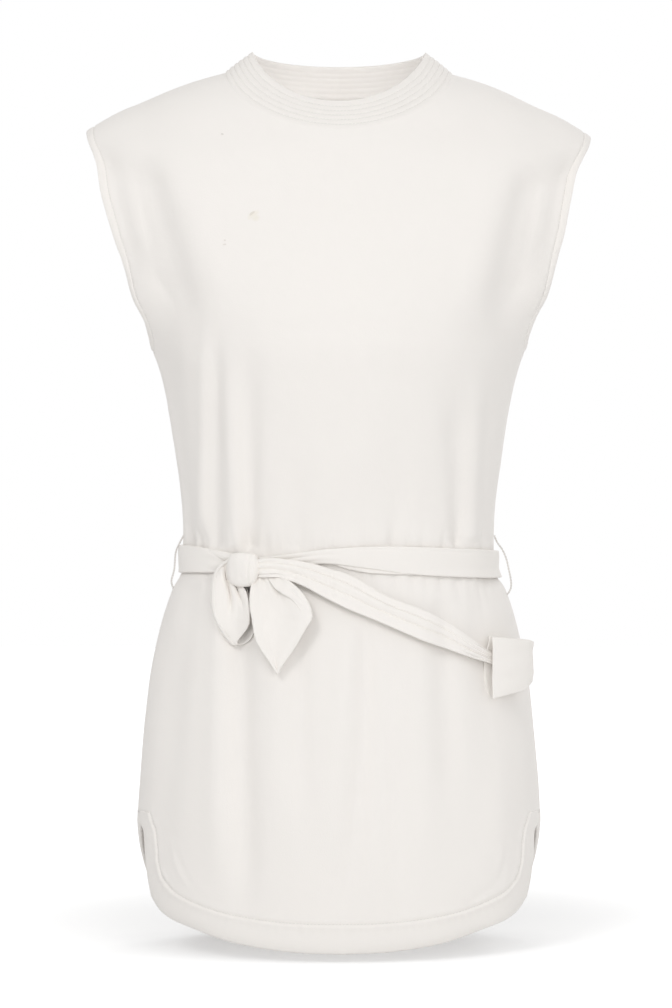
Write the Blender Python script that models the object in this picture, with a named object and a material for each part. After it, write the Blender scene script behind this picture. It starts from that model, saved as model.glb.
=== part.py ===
"""Sleeveless tunic top in a smooth heavy cloth, standing open as if it were worn.

The cloth is a thin wall laid on one smooth form: rings that are ellipses, with their own half width,
front depth and back depth at each height, closed over the shoulders by a rounded cap. Every piece is
worked out on that form: the front and back panels, the armhole bands, the shaped hem bands with their
side vents, the ribbed neckband, and the sash that is tied at the waist.

Sizes are in centimetres here, and CM turns them into metres. +X is to the viewer's right, -Y is the
front and +Z is up. The origin is the middle of the neck, level with the neckband's top edge at the sides.
"""

import math

import bmesh
import bpy
import numpy as np

CM = 0.01

# ---------------------------------------------------------------- driving sizes
WALL = 0.18            # the panels' cloth
BAND_WALL = 0.26       # hems and facings, where the cloth is double
SASH_WALL = 0.24       # the sash, two layers of the cloth
SEAM = 0.03            # space between two pieces that are sewn together
ARMHOLE_BAND = 0.8     # width of the stitched band round an armhole
ARMHOLE_GAP = 0.045    # its space from the panels, wider than a seam's where the edge turns tightly
SEAM_FORWARD = 1.2     # the side seams lie this far in front of the widest point
CAP_DEPTH = 9.0        # the shoulders round over within this height

NECK_HALF = 9.8        # neck seam: half width at the shoulders
NECK_SIDE = -1.8       # its height there
NECK_FRONT = -7.5      # and at the front centre
NECK_BACK = -3.0       # and at the back centre
COLLAR_HALF = 7.5      # neckband's top edge: half width
COLLAR_FRONT = (-6.5, -5.0)    # its front centre: y, z
COLLAR_BACK = (6.0, -0.5)      # its back centre: y, z
COLLAR_DROP = 1.15     # how round its fall to the centres is
NECK_RIBS = 6
RIB_HEIGHT = 0.09
RIB_SHAPE = ((0.0, 0.0), (0.27, 1.0), (0.73, 1.0))     # share of a rib's width, share of its height

SHOULDER_TIP = 21.7    # half width at the shoulder tips
UNDERARM = -25.3
VENT_TOP = -66.4
BAND_TOP = -65.6
SPLIT = -44.0          # the front's collision is in two solids that meet here, behind the sash

# height, half width, front depth, back depth of the form's rings
FORM = (
    (2.0, 25.2, 8.6, 9.2),
    (-6.8, 25.1, 8.7, 9.2),
    (-9.2, 24.6, 9.3, 9.4),
    (-12.0, 23.8, 10.1, 9.7),
    (-15.0, 22.5, 10.9, 9.9),
    (-17.9, 21.0, 11.6, 9.9),
    (-21.2, 19.0, 12.3, 9.8),
    (-23.8, 17.15, 12.6, 9.6),
    (-25.3, 16.3, 12.6, 9.4),
    (-29.2, 15.05, 11.9, 8.9),
    (-34.5, 14.15, 10.6, 8.2),
    (-41.4, 13.45, 9.2, 7.6),
    (-44.6, 13.45, 9.0, 7.7),
    (-46.8, 14.45, 9.6, 8.4),
    (-50.1, 15.5, 10.2, 9.3),
    (-55.3, 16.5, 10.9, 10.4),
    (-60.6, 17.05, 11.3, 11.1),
    (-67.5, 17.4, 11.8, 11.6),
    (-78.0, 17.0, 12.2, 12.0),
)

# half width from the centre, height of the shoulder line
SHOULDER = (
    (0.0, 0.8), (9.8, -1.8), (11.7, -2.3), (14.2, -3.1),
    (17.0, -4.3), (19.0, -5.1), (22.0, -6.9), (26.0, -9.6),
)

# armhole edge, from the side seam up to the shoulder tip: degrees from the piece's centre, height
ARMHOLE_FRONT = (
    (80.0, -25.0), (73.0, -23.8), (67.0, -21.2), (63.0, -17.9), (61.0, -15.0), (59.5, -12.0), (59.2, -9.2),
)
ARMHOLE_BACK = (
    (86.0, -25.0), (76.0, -23.7), (67.5, -21.2), (62.5, -17.9), (60.0, -15.0), (58.6, -12.0), (58.6, -9.2),
)

# edge of the vents and the hem, from below a vent's top to the centre:
# degrees from the piece's centre, height
HEM_FRONT = (
    (79.0, -67.6), (76.3, -69.3), (74.3, -71.3), (69.0, -72.85),
    (59.2, -73.95), (44.6, -75.2), (29.4, -76.15), (14.2, -76.65), (0.0, -76.8),
)
HEM_BACK = (
    (92.0, -67.7), (89.0, -69.5), (84.5, -71.5), (77.0, -72.9),
    (62.0, -73.95), (44.6, -75.2), (29.4, -76.15), (14.2, -76.65), (0.0, -76.8),
)
# upper edge of the hem bands, from the band's top beside a vent to the centre
HEM_LINE_FRONT = (
    (67.8, -65.6), (64.2, -66.8), (62.4, -68.2), (61.6, -69.6), (59.2, -70.8),
    (53.7, -71.75), (46.0, -72.5), (37.0, -73.15), (24.0, -73.7), (12.0, -73.95), (0.0, -74.0),
)
HEM_LINE_BACK = (
    (81.0, -65.6), (78.0, -66.8), (75.6, -68.2), (73.0, -69.6), (68.0, -70.75),
    (58.0, -71.6), (46.0, -72.5), (37.0, -73.1), (24.0, -73.7), (12.0, -73.95), (0.0, -74.0),
)
HEM_CORNER = 4         # rows of each hem table that lie beside the vent
LINE_CORNER = 5        # and of each table of the bands' upper edge
# section of a hem band from its lower edge: share of its width, height of the ridge there
HEM_SECTION = ((0.0, 0.0), (0.45, 0.0), (0.84, 0.0), (0.93, 0.07), (1.0, 0.0))

# heights of the panels' rows between the hem band and the underarm, close together at the sash
SEAM_ROWS = (
    -62.2, -58.6, -55.2, -52.2, -49.6, -47.6, -46.5, -45.6, -44.5, SPLIT, -43.2, -41.6, -39.2, -36.2, -33.0,
    -29.6,
)

# soft folds, each a straight trough (depth below 0) or ridge: side (-1 front, 1 back),
# top x, top height, bottom x, bottom height, half width, depth, lengths over which its two ends run out
FOLDS = (
    (-1, -18.6, -9.0, -18.0, -16.0, 1.1, -0.30, 4.0, 4.0),
    (-1, -15.6, -9.5, -11.2, -24.0, 1.4, -0.45, 5.0, 5.0),
    (-1, -12.6, -12.0, -9.6, -25.0, 1.5, 0.22, 5.0, 5.0),
    (-1, 18.3, -9.0, 17.6, -16.0, 1.1, -0.30, 4.0, 4.0),
    (-1, 15.3, -9.5, 11.6, -24.0, 1.4, -0.42, 5.0, 5.0),
    (-1, 12.5, -12.0, 10.2, -25.0, 1.5, 0.20, 5.0, 5.0),
    (-1, -7.7, -25.0, -7.9, -43.0, 1.2, -0.55, 6.0, 1.0),
    (-1, -10.0, -25.0, -9.9, -43.0, 1.1, 0.32, 6.0, 1.0),
    (-1, 10.2, -33.0, 9.8, -43.0, 1.3, -0.38, 5.0, 1.0),
    (-1, 5.0, -36.0, 4.8, -43.0, 1.2, -0.25, 4.0, 1.0),
    (-1, -8.2, -45.6, -8.8, -74.0, 1.5, -0.55, 1.0, 6.0),
    (-1, -5.4, -45.6, -5.2, -68.0, 1.4, 0.32, 1.0, 8.0),
    (-1, 1.8, -49.0, 2.6, -71.0, 1.8, -0.42, 5.0, 7.0),
    (-1, 5.8, -47.0, 6.4, -72.0, 1.6, 0.28, 3.0, 7.0),
    (-1, 9.8, -45.6, 10.4, -64.0, 1.4, -0.34, 1.0, 7.0),
    (1, -12.5, -10.0, -7.5, -30.0, 1.8, -0.40, 5.0, 6.0),
    (1, 12.8, -10.0, 8.5, -28.0, 1.7, -0.38, 5.0, 6.0),
    (1, -6.2, -27.0, -5.6, -43.0, 1.2, -0.50, 6.0, 1.0),
    (1, -2.4, -31.0, -2.2, -43.0, 1.2, 0.28, 5.0, 1.0),
    (1, 6.8, -28.0, 6.2, -43.0, 1.3, -0.48, 6.0, 1.0),
    (1, -9.6, -45.6, -10.6, -70.0, 1.5, -0.45, 1.0, 7.0),
    (1, -3.4, -45.6, -4.0, -74.0, 1.6, -0.55, 1.0, 6.0),
    (1, 0.6, -45.6, 1.0, -64.0, 1.4, 0.30, 1.0, 7.0),
    (1, 4.6, -45.6, 5.6, -73.0, 1.6, -0.50, 1.0, 6.0),
    (1, 9.8, -45.6, 11.0, -69.0, 1.5, -0.40, 1.0, 7.0),
)

# the sash round the waist, from the knot's right side round the back to its left side:
# degrees from the front centre, top height, bottom height
SASH_RUN = (
    (-30.0, -43.7, -45.1),
    (-18.0, -43.4, -44.6),
    (-6.0, -43.0, -44.3),
    (8.0, -42.75, -44.6),
    (25.0, -42.75, -45.1),
    (51.0, -42.95, -45.45),
    (90.0, -43.2, -45.6),
    (135.0, -43.0, -45.7),
    (180.0, -42.9, -45.6),
    (225.0, -42.8, -45.4),
    (270.0, -42.7, -45.15),
    (297.0, -42.8, -45.05),
    (312.0, -43.1, -45.0),
    (320.0, -43.4, -44.9),
)
# section of the sash from its lower edge: share of its width, extra distance out
SASH_SECTION = ((0.0, -0.05), (0.12, 0.0), (0.5, 0.05), (0.88, 0.0), (1.0, -0.05))
SASH_STEPS = 52
SASH_LIFT = 0.41       # mid of the sash's wall over the mid of the panel's
LEAN = (1, 1, 0.3)     # the sash stands nearly upright where the cloth under it slopes

KNOT_AT = (-7.6, -44.8)        # x, z
KNOT_HALF = (1.42, 0.8, 1.5)   # across, outward, upward
KNOT_LIFT = 1.65
KNOT_SQUARE = 0.12             # how much its corners bulge past a ball's
KNOT_CREASES = ((0.45, 0.14, 0.16), (-0.30, 0.12, 0.11))       # across, half width, depth

# hanging ends: height, left x, right x, distance out from the panel, depth of the lengthwise fold
TAIL_LEFT = (
    (-45.9, -8.9, -8.05, 0.60, 0.03),
    (-46.6, -10.4, -7.9, 0.74, 0.24),
    (-47.8, -10.75, -7.8, 0.88, 0.42),
    (-49.0, -10.35, -7.7, 1.00, 0.45),
    (-50.1, -9.6, -7.9, 0.95, 0.30),
    (-50.9, -8.75, -8.35, 0.85, 0.06),
)
TAIL_RIGHT = (
    (-45.9, -7.65, -6.8, 0.60, 0.03),
    (-46.5, -7.45, -4.7, 0.80, 0.22),
    (-47.6, -7.45, -2.75, 1.00, 0.50),
    (-49.0, -7.2, -2.55, 1.20, 0.55),
    (-50.4, -6.75, -3.0, 1.20, 0.45),
    (-51.8, -6.0, -4.0, 1.05, 0.28),
    (-53.4, -5.3, -4.95, 0.90, 0.05),
)
TAIL_ROWS = 11
TAIL_COLUMNS = 7

# the long end across the skirt: x, height, width, distance out, fold depth
LONG_END = (
    (-6.7, -44.9, 1.4, 0.79, 0.02),
    (-4.4, -44.85, 2.1, 0.89, 0.08),
    (-1.5, -45.65, 2.3, 0.93, 0.12),
    (1.0, -46.65, 2.4, 0.86, 0.14),
    (3.9, -48.0, 2.2, 0.76, 0.14),
    (6.9, -49.35, 2.0, 0.78, 0.12),
    (9.3, -50.45, 1.6, 0.92, 0.09),
    (11.0, -51.4, 1.15, 1.20, 0.05),
    (12.2, -52.1, 0.9, 1.45, 0.03),
)
LONG_ROWS = 18
LONG_COLUMNS = 6

# the sash's far end, folded flat: plan of the fold from its front edge round to its back edge, x and y
END_FOLD = (
    (12.95, -8.4), (14.2, -7.65), (15.5, -6.55), (16.3, -5.65), (16.55, -5.1),
    (16.15, -4.85), (15.5, -5.3), (14.6, -6.1), (13.6, -6.95), (12.6, -7.6),
)
END_TOP = (-50.4, -50.8)       # height at the open edge and at the fold
END_BOTTOM = (-55.65, -54.9)
END_STEPS = 20
END_LEVELS = 4

CARRIER_RADIUS = 0.08
CARRIER_Y = -0.7
# thread loops that hold the sash: distance out from the form's side, height
CARRIER = (
    (0.21, -41.7), (0.55, -42.1), (0.80, -42.9), (0.86, -44.2),
    (0.84, -45.6), (0.62, -46.7), (0.28, -47.2), (0.21, -47.4),
)
CARRIER_STEPS = 11

# points along the panels' edges; the hem has as many as the shoulders and neck less the side columns
VENT_STEPS = 5
ARM_STEPS = 13
ARM_CROWD = 0.35
SHOULDER_STEPS = 6
NECK_STEPS = 18
SIDE_COLUMNS = 2
HEM_STEPS = NECK_STEPS + 2 * SHOULDER_STEPS - 2 * SIDE_COLUMNS
METRIC = (0.21, 1.0)   # centimetres to a degree near the sides, and to a centimetre, to space points by

CLOTH = (0.86, 0.85, 0.81, 1.0)
CLOTH_ROUGHNESS = 0.85

COLLECTION = "tunic_top"


# ---------------------------------------------------------------- lines and curves
def smooth_line(rows, column=1):
    """A function through one column of a table over its first column, without overshoot."""
    ordered = sorted(rows)
    x = np.array([row[0] for row in ordered], float)
    y = np.array([row[column] for row in ordered], float)
    step = np.diff(x)
    rise = np.diff(y) / step
    slope = np.r_[rise[0], np.zeros(len(x) - 2), rise[-1]]
    for i in range(1, len(x) - 1):
        if rise[i - 1] * rise[i] > 0:
            before, after = 2 * step[i] + step[i - 1], step[i] + 2 * step[i - 1]
            slope[i] = (before + after) / (before / rise[i - 1] + after / rise[i])

    def at(value):
        value = min(max(value, x[0]), x[-1])
        i = min(max(int(np.searchsorted(x, value)) - 1, 0), len(step) - 1)
        s = (value - x[i]) / step[i]
        start = y[i] * (1 + 2 * s) * (1 - s) ** 2 + slope[i] * step[i] * s * (1 - s) ** 2
        return start + y[i + 1] * s * s * (3 - 2 * s) - slope[i + 1] * step[i] * s * s * (1 - s)

    return at


def curve_through(points, count, weights=None, crowd=0.0):
    """count + 1 points along a smooth curve through points; crowd above 0 packs them to its two ends."""
    knots = np.array(points, float)
    scaled = knots * (np.ones(knots.shape[1]) if weights is None else np.array(weights))
    span = np.r_[0.0, np.cumsum(np.linalg.norm(np.diff(scaled, axis=0), axis=1))]
    slope = np.gradient(knots, span, axis=0)
    found = []
    for k in range(count + 1):
        share = k / count
        share -= crowd * math.sin(2 * math.pi * share) / (2 * math.pi)
        value = share * span[-1]
        i = min(max(int(np.searchsorted(span, value)) - 1, 0), len(span) - 2)
        step = span[i + 1] - span[i]
        s = (value - span[i]) / step
        start = knots[i] * (1 + 2 * s) * (1 - s) ** 2 + slope[i] * step * s * (1 - s) ** 2
        found.append(start + knots[i + 1] * s * s * (3 - 2 * s) - slope[i + 1] * step * s * s * (1 - s))
    return found


def eased(t):
    t = min(max(t, 0.0), 1.0)
    return t * t * (3 - 2 * t)


def mix(a, b, t):
    return a + (b - a) * t


def unit(v):
    v = np.array(v, float)
    return v / np.linalg.norm(v)


# ---------------------------------------------------------------- the form
half_width = smooth_line(FORM, 1)
front_depth = smooth_line(FORM, 2)
back_depth = smooth_line(FORM, 3)
shoulder_line = smooth_line(SHOULDER)


def depth_at(y, z):
    return front_depth(z) if y < 0 else back_depth(z)


def cap(x, z):
    """1 on the trunk, falling to 0 at the shoulder line."""
    below = min((shoulder_line(abs(x)) - z) / CAP_DEPTH, 1.0)
    return 1 - (1 - below) ** 2


def form_point(side, degrees, z):
    """Point of the form at an angle from the centre of one side (-1 front, 1 back)."""
    angle = math.radians(degrees)
    x = half_width(z) * math.sin(angle)
    toward = side * math.cos(angle)
    y = toward * depth_at(toward, z) * math.sqrt(max(cap(x, z), 0.0))
    return np.array((x, y, z))


def form_normal(p):
    """Direction out of the form at a point on it."""
    def beyond(x, y, z):
        return (y / depth_at(p[1], z)) ** 2 - (1 - (x / half_width(z)) ** 2) * cap(x, z)

    h = 0.02
    x, y, z = p
    return unit((
        beyond(x + h, y, z) - beyond(x - h, y, z),
        beyond(x, y + h, z) - beyond(x, y - h, z),
        beyond(x, y, z + h) - beyond(x, y, z - h),
    ))


def angle_of(side, p):
    """Angle from the side's centre of a point near the form."""
    x, y, z = p
    share = x / half_width(z)
    if abs(share) < 0.93:
        return math.degrees(math.asin(share))
    return math.degrees(math.atan2(share, side * y / depth_at(y, z)))


def seam_degrees(side, z):
    """Angle of the side seam, which lies just in front of the widest point."""
    ahead = math.degrees(math.acos(SEAM_FORWARD / front_depth(z)))
    return ahead if side < 0 else 180 - ahead


def fold_height(side, x, z):
    """How far the folds lift the cloth off the form here."""
    lift = 0.0
    for fold_side, x_top, z_top, x_low, z_low, half, depth, fade_top, fade_low in FOLDS:
        if fold_side == side and z_low < z < z_top:
            centre = mix(x_top, x_low, (z_top - z) / (z_top - z_low))
            ends = eased((z_top - z) / fade_top) * eased((z - z_low) / fade_low)
            lift += depth * ends * math.exp(-(((x - centre) / half) ** 2))
    return lift


def cloth_point(side, degrees, z):
    """Mid point of the cloth and the direction out of it, with folds and half of the seam's space."""
    on_form = form_point(side, degrees, z)
    out = form_normal(on_form)
    moved = on_form + out * fold_height(side, on_form[0], z)
    moved[1] += side * SEAM / 2
    return moved, out


def on_form_at(x, z, lift, side=-1):
    """Point a given distance out from the folded cloth, at x across and z up."""
    degrees = math.degrees(math.asin(max(-1.0, min(1.0, x / half_width(z)))))
    mid, out = cloth_point(side, degrees, z)
    return mid + out * lift, out


# ---------------------------------------------------------------- meshes
def new_object(name, mesh):
    obj = bpy.data.objects.new(name, mesh)
    bpy.data.collections[COLLECTION].objects.link(obj)
    return obj


def finish_mesh(name, bm, material):
    bmesh.ops.recalc_face_normals(bm, faces=bm.faces)
    if bm.calc_volume(signed=True) < 0:
        bmesh.ops.reverse_faces(bm, faces=bm.faces)
    mesh = bpy.data.meshes.new(name)
    bm.to_mesh(mesh)
    bm.free()
    mesh.shade_smooth()
    mesh.set_sharp_from_angle(angle=math.radians(40))
    mesh.materials.append(material)
    return new_object(name, mesh)


def make_wall(name, mids, outs, cells, thick, material, raised=None):
    """A closed wall: each cell of the sheet on both faces, and a strip along every free edge."""
    bm = bmesh.new()
    outer, inner = [], []
    for i, (mid, out) in enumerate(zip(mids, outs)):
        extra = raised[i] if raised is not None else 0.0
        outer.append(bm.verts.new((mid + out * (thick / 2 + extra)) * CM))
        inner.append(bm.verts.new((mid - out * thick / 2) * CM))
    edges = {}
    for cell in cells:
        bm.faces.new([outer[k] for k in cell])
        bm.faces.new([inner[k] for k in reversed(cell)])
        for a, b in zip(cell, cell[1:] + cell[:1]):
            if (b, a) in edges:
                del edges[(b, a)]
            else:
                edges[(a, b)] = True
    for a, b in edges:
        rim = [outer[b], outer[a], inner[a], inner[b]]
        if (rim[0].co - rim[2].co).length > (rim[1].co - rim[3].co).length:
            rim = rim[1:] + rim[:1]
        bm.faces.new(rim[:3])
        bm.faces.new((rim[0], rim[2], rim[3]))
    return finish_mesh(name, bm, material)


def strip_cells(rows, columns, closed=False):
    """Cells between rows of points that lie one after another; closed joins the last row to the first."""
    cells = []
    for i in range(rows if closed else rows - 1):
        for j in range(columns - 1):
            a = i * columns + j
            b = (i + 1) % rows * columns + j
            cells.append([a, a + 1, b + 1, b])
    return cells


# ---------------------------------------------------------------- edges of the panels
def inward(side, edge, width):
    """Each point of a right-hand edge, listed upwards, moved over the form by width, square to the edge."""
    points = [form_point(side, degrees, z) for degrees, z in edge]
    moved = []
    for k, p in enumerate(points):
        before, after = points[max(k - 1, 0)], points[min(k + 1, len(points) - 1)]
        across = unit(np.cross(form_normal(p), after - before))
        target = p - across * width * side
        moved.append((angle_of(side, target), target[2]))
    return moved


def hem_edge(side):
    """Right half of the vent and hem edge, from the band's top to the centre."""
    table = HEM_FRONT if side < 0 else HEM_BACK
    seam = seam_degrees(side, VENT_TOP)
    beside = [(seam, BAND_TOP), (seam, VENT_TOP)] + list(table[:HEM_CORNER])
    down = curve_through(beside, VENT_STEPS, METRIC)
    return down + curve_through(table[HEM_CORNER - 1:], HEM_STEPS // 2, METRIC)[1:]


def hem_line(side):
    """Right half of the hem band's upper edge, with as many points as the edge below it."""
    table = HEM_LINE_FRONT if side < 0 else HEM_LINE_BACK
    down = curve_through(table[:LINE_CORNER], VENT_STEPS, METRIC)
    return down + curve_through(table[LINE_CORNER - 1:], HEM_STEPS // 2, METRIC)[1:]


def hem_line_above(side):
    """The panel's own edge along the hem band, a seam's space away from it."""
    line = inward(side, hem_line(side)[::-1], SEAM)[::-1]
    line[0] = (line[0][0], BAND_TOP + SEAM)
    line[-1] = (0.0, hem_line(side)[-1][1] + SEAM)
    return line


def armhole_edge(side):
    """Right armhole edge from the side seam to the shoulder tip."""
    table = ARMHOLE_FRONT if side < 0 else ARMHOLE_BACK
    tip_z = shoulder_line(SHOULDER_TIP)
    tip = math.degrees(math.asin(SHOULDER_TIP / half_width(tip_z)))
    start = (seam_degrees(side, UNDERARM), UNDERARM)
    return curve_through([start] + list(table) + [(tip, tip_z)], ARM_STEPS, METRIC, crowd=ARM_CROWD)


def armhole_inner_edge(side, width):
    """The armhole band's inner edge: straight down at the underarm, along the shoulder at the tip."""
    inner = inward(side, armhole_edge(side), width)
    low = UNDERARM - width
    inner[0] = (seam_degrees(side, low), low)
    x = SHOULDER_TIP - width
    top = shoulder_line(x)
    inner[-1] = (math.degrees(math.asin(x / half_width(top))), top)
    return inner


def neck_edge(side):
    """Neck seam on one side, right to left through the centre: angle and height at equal turns."""
    centre = NECK_FRONT if side < 0 else NECK_BACK
    points = []
    for k in range(NECK_STEPS + 1):
        turn = math.radians(90 - 180 * k / NECK_STEPS)
        z = mix(NECK_SIDE, centre, max(math.cos(turn), 0.0) ** COLLAR_DROP)
        x = NECK_HALF * math.sin(turn)
        points.append((math.degrees(math.asin(x / half_width(z))), z))
    return points


# ---------------------------------------------------------------- panels
def mirrored(edge):
    return [(-degrees, z) for degrees, z in edge]


def panel_sheet(side):
    """Points (angle, height) and cells of one panel, right to left, hem to shoulder."""
    hem = hem_line_above(side)
    vent, low = hem[: VENT_STEPS + 1], hem[VENT_STEPS:]
    bottom = low + mirrored(reversed(low[:-1]))
    flank = [(seam_degrees(side, z), z) for z in (BAND_TOP + SEAM,) + SEAM_ROWS]
    flank += armhole_inner_edge(side, ARMHOLE_BAND + ARMHOLE_GAP)

    tip_x = SHOULDER_TIP - ARMHOLE_BAND - ARMHOLE_GAP
    shoulder = []
    for k in range(SHOULDER_STEPS):
        x = mix(tip_x, NECK_HALF, k / SHOULDER_STEPS)
        z = shoulder_line(x)
        shoulder.append((math.degrees(math.asin(x / half_width(z))), z))
    top = shoulder + neck_edge(side) + mirrored(reversed(shoulder))

    outside = [mix(1.0, vent[0][0] / flank[0][0], k / SIDE_COLUMNS) for k in range(SIDE_COLUMNS)]
    middle = [vent[0][0] / flank[0][0] * degrees / bottom[0][0] for degrees, _ in bottom]
    base = outside + middle + [-share for share in reversed(outside)]

    points, index = [], {}

    def place(i, j, degrees, z):
        index[i, j] = len(points)
        points.append((degrees, z))

    corner_z, base_z = vent[-1][1], flank[0][1]
    for i, (edge, z_edge) in enumerate(reversed(vent[1:])):
        rise = (z_edge - corner_z) / (base_z - corner_z)
        for j, (degrees, z) in enumerate(bottom):
            place(i, j + SIDE_COLUMNS, edge * degrees / bottom[0][0], mix(z, base_z, rise))
    for i, (edge, z_edge) in enumerate(flank):
        rise = (z_edge - base_z) / (flank[-1][1] - base_z)
        lift = eased((z_edge - UNDERARM) / (flank[-1][1] - UNDERARM))
        for j, (degrees, z) in enumerate(top):
            share = mix(base[j], degrees / top[0][0], rise ** 1.5)
            place(VENT_STEPS + i, j, edge * share, z_edge + (z - flank[-1][1]) * lift)

    cells = []
    for (i, j) in index:
        ring = [(i, j), (i, j + 1), (i + 1, j + 1), (i + 1, j)]
        if all(corner in index for corner in ring):
            cells.append([index[corner] for corner in ring])
    return points, cells


def panel_part(side, part):
    """The part of a panel above (1) or below (-1) the split behind the sash, half a seam's space off it."""
    points, cells = panel_sheet(side)
    cells = [cell for cell in cells if (sum(points[k][1] for k in cell) / 4 - SPLIT) * part > 0]
    used = sorted({k for cell in cells for k in cell})
    place = {k: i for i, k in enumerate(used)}
    kept = [(points[k][0], points[k][1] + (part * SEAM / 2 if points[k][1] == SPLIT else 0.0)) for k in used]
    return kept, [[place[k] for k in cell] for cell in cells]


def make_panel(name, side, material, part=None):
    points, cells = panel_part(side, part) if part else panel_sheet(side)
    placed = [cloth_point(side, degrees, z) for degrees, z in points]
    return make_wall(name, [p for p, _ in placed], [n for _, n in placed], cells, WALL, material)


def make_hem_band(name, side, material):
    """The band that follows both vents and the hem, with a low ridge along its upper edge."""
    right = list(zip(hem_edge(side), hem_line(side)))
    left = [(mirrored([a])[0], mirrored([b])[0]) for a, b in reversed(right[:-1])]
    mids, outs, raised = [], [], []
    for a, b in right + left:
        for share, extra in HEM_SECTION:
            mid, out = cloth_point(side, mix(a[0], b[0], share), mix(a[1], b[1], share))
            mids.append(mid)
            outs.append(out)
            raised.append(extra)
    cells = strip_cells(len(right) + len(left), len(HEM_SECTION))
    return make_wall(name, mids, outs, cells, BAND_WALL, material, raised)


def make_armhole_band(name, mirror, material):
    """The band round one armhole, up the front, over the shoulder tip and down the back."""
    rows = []
    for side in (-1, 1):
        outer = armhole_edge(side)
        inner = armhole_inner_edge(side, ARMHOLE_BAND)
        pairs = list(zip(outer, inner))
        if side > 0:
            pairs = pairs[::-1][1:-1]
        for a, b in pairs:
            rows.append((side, a, b))
    mids, outs = [], []
    shares = (0.0, 0.5, 1.0)
    for k, (side, a, b) in enumerate(rows):
        for share in shares:
            mid, out = cloth_point(side, mix(a[0], b[0], share), mix(a[1], b[1], share))
            if k in (0, ARM_STEPS):
                mid[1] -= side * SEAM / 2
            mids.append(mid * (mirror, 1, 1))
            outs.append(out * (mirror, 1, 1))
    cells = strip_cells(len(rows), len(shares), closed=True)
    return make_wall(name, mids, outs, cells, BAND_WALL, material)


# ---------------------------------------------------------------- neckband
def neckband_sections():
    """Sections of the neckband, right round from the wearer's one shoulder: ribs outside, plain inside."""
    ring = [(-1, p) for p in neck_edge(-1)] + [(1, p) for p in reversed(neck_edge(1)[1:-1])]
    feet = [cloth_point(side, degrees, z) for side, (degrees, z) in ring]
    profile = [((rib + across) / NECK_RIBS, rise) for rib in range(NECK_RIBS) for across, rise in RIB_SHAPE]
    profile.append((1.0, 0.0))
    sections = []
    for k, (foot, foot_out) in enumerate(feet):
        turn = math.radians(90 - 180 * k / NECK_STEPS)
        y_top, z_top = COLLAR_FRONT if ring[k][0] < 0 else COLLAR_BACK
        lean = abs(math.cos(turn))
        head = np.array((COLLAR_HALF * math.sin(turn), y_top * lean, z_top * lean ** COLLAR_DROP))
        up = unit(head - foot)
        along = feet[k - 1][0] - feet[(k + 1) % len(feet)][0]
        out = unit(np.cross(along, up))
        start = foot + up * SEAM * 1.4
        section = []
        for share, rise in profile:
            direction = unit(mix(foot_out, out, eased(share * NECK_RIBS)))
            section.append(mix(start, head, share) + direction * (WALL / 2 + RIB_HEIGHT * rise))
        section.append(head - out * WALL / 2)
        section.append(mix(start, head, 0.4) - out * WALL / 2)
        section.append(start - foot_out * WALL / 2)
        sections.append(section)
    return sections


def make_neckband(name, material):
    """A sloped standing ring with stitched channels raised on its outer face."""
    sections = neckband_sections()
    bm = bmesh.new()
    rings = [[bm.verts.new(p * CM) for p in section] for section in sections]
    for k, ring in enumerate(rings):
        ahead = rings[(k + 1) % len(rings)]
        for j in range(len(ring)):
            n = (j + 1) % len(ring)
            bm.faces.new((ring[j], ring[n], ahead[n], ahead[j]))
    return finish_mesh(name, bm, material)


# ---------------------------------------------------------------- the sash
def make_sash_round(name, material):
    """The stretch round the waist; both its ends run under the knot."""
    run = curve_through(SASH_RUN, SASH_STEPS, (0.2, 0.0, 0.0))
    mids, outs = [], []
    for degrees, top, bottom in run:
        side = -1 if math.cos(math.radians(degrees)) > 0 else 1
        local = 180 - degrees if side > 0 else (degrees if degrees < 180 else degrees - 360)
        for share, extra in SASH_SECTION:
            mid, out = cloth_point(side, local, mix(bottom, top, share))
            out = unit(out * LEAN)
            mids.append(mid + out * (SASH_LIFT + extra))
            outs.append(out)
    cells = strip_cells(len(run), len(SASH_SECTION))
    return make_wall(name, mids, outs, cells, SASH_WALL, material)


def make_knot(name, material):
    """The tie: a rounded lump, pinched by two upright creases."""
    bm = bmesh.new()
    bmesh.ops.create_uvsphere(bm, u_segments=18, v_segments=11, radius=1.0)
    centre, out = on_form_at(*KNOT_AT, KNOT_LIFT)
    across = unit(np.cross((0, 0, 1), out))
    up = np.cross(out, across)
    for vert in bm.verts:
        p = np.array(vert.co)
        p = p * (1 + KNOT_SQUARE * max(abs(p[0]), abs(p[2])) ** 4)
        if p[1] > 0:
            for at, half, depth in KNOT_CREASES:
                p[1] *= 1 - depth * math.exp(-((p[0] - at) / half) ** 2)
        a, b, c = p * KNOT_HALF
        vert.co = (centre - across * a + out * b + up * c) * CM
    return finish_mesh(name, bm, material)


def make_tail(name, table, material):
    """A hanging end: a sheet folded lengthwise, pinched at the knot and at its tip."""
    rows = curve_through(table, TAIL_ROWS, (1.0, 0.0, 0.0, 0.0, 0.0))
    shares = [k / TAIL_COLUMNS for k in range(TAIL_COLUMNS + 1)]
    mids, outs = [], []
    for z, x_left, x_right, lift, fold in rows:
        for share in shares:
            wave = math.cos(2 * math.pi * (share - 0.12) * 1.25)
            mid, out = on_form_at(mix(x_right, x_left, share), z, lift + fold * wave)
            mids.append(mid)
            outs.append(out)
    return make_wall(name, mids, outs, strip_cells(len(rows), len(shares)), SASH_WALL, material)


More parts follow.
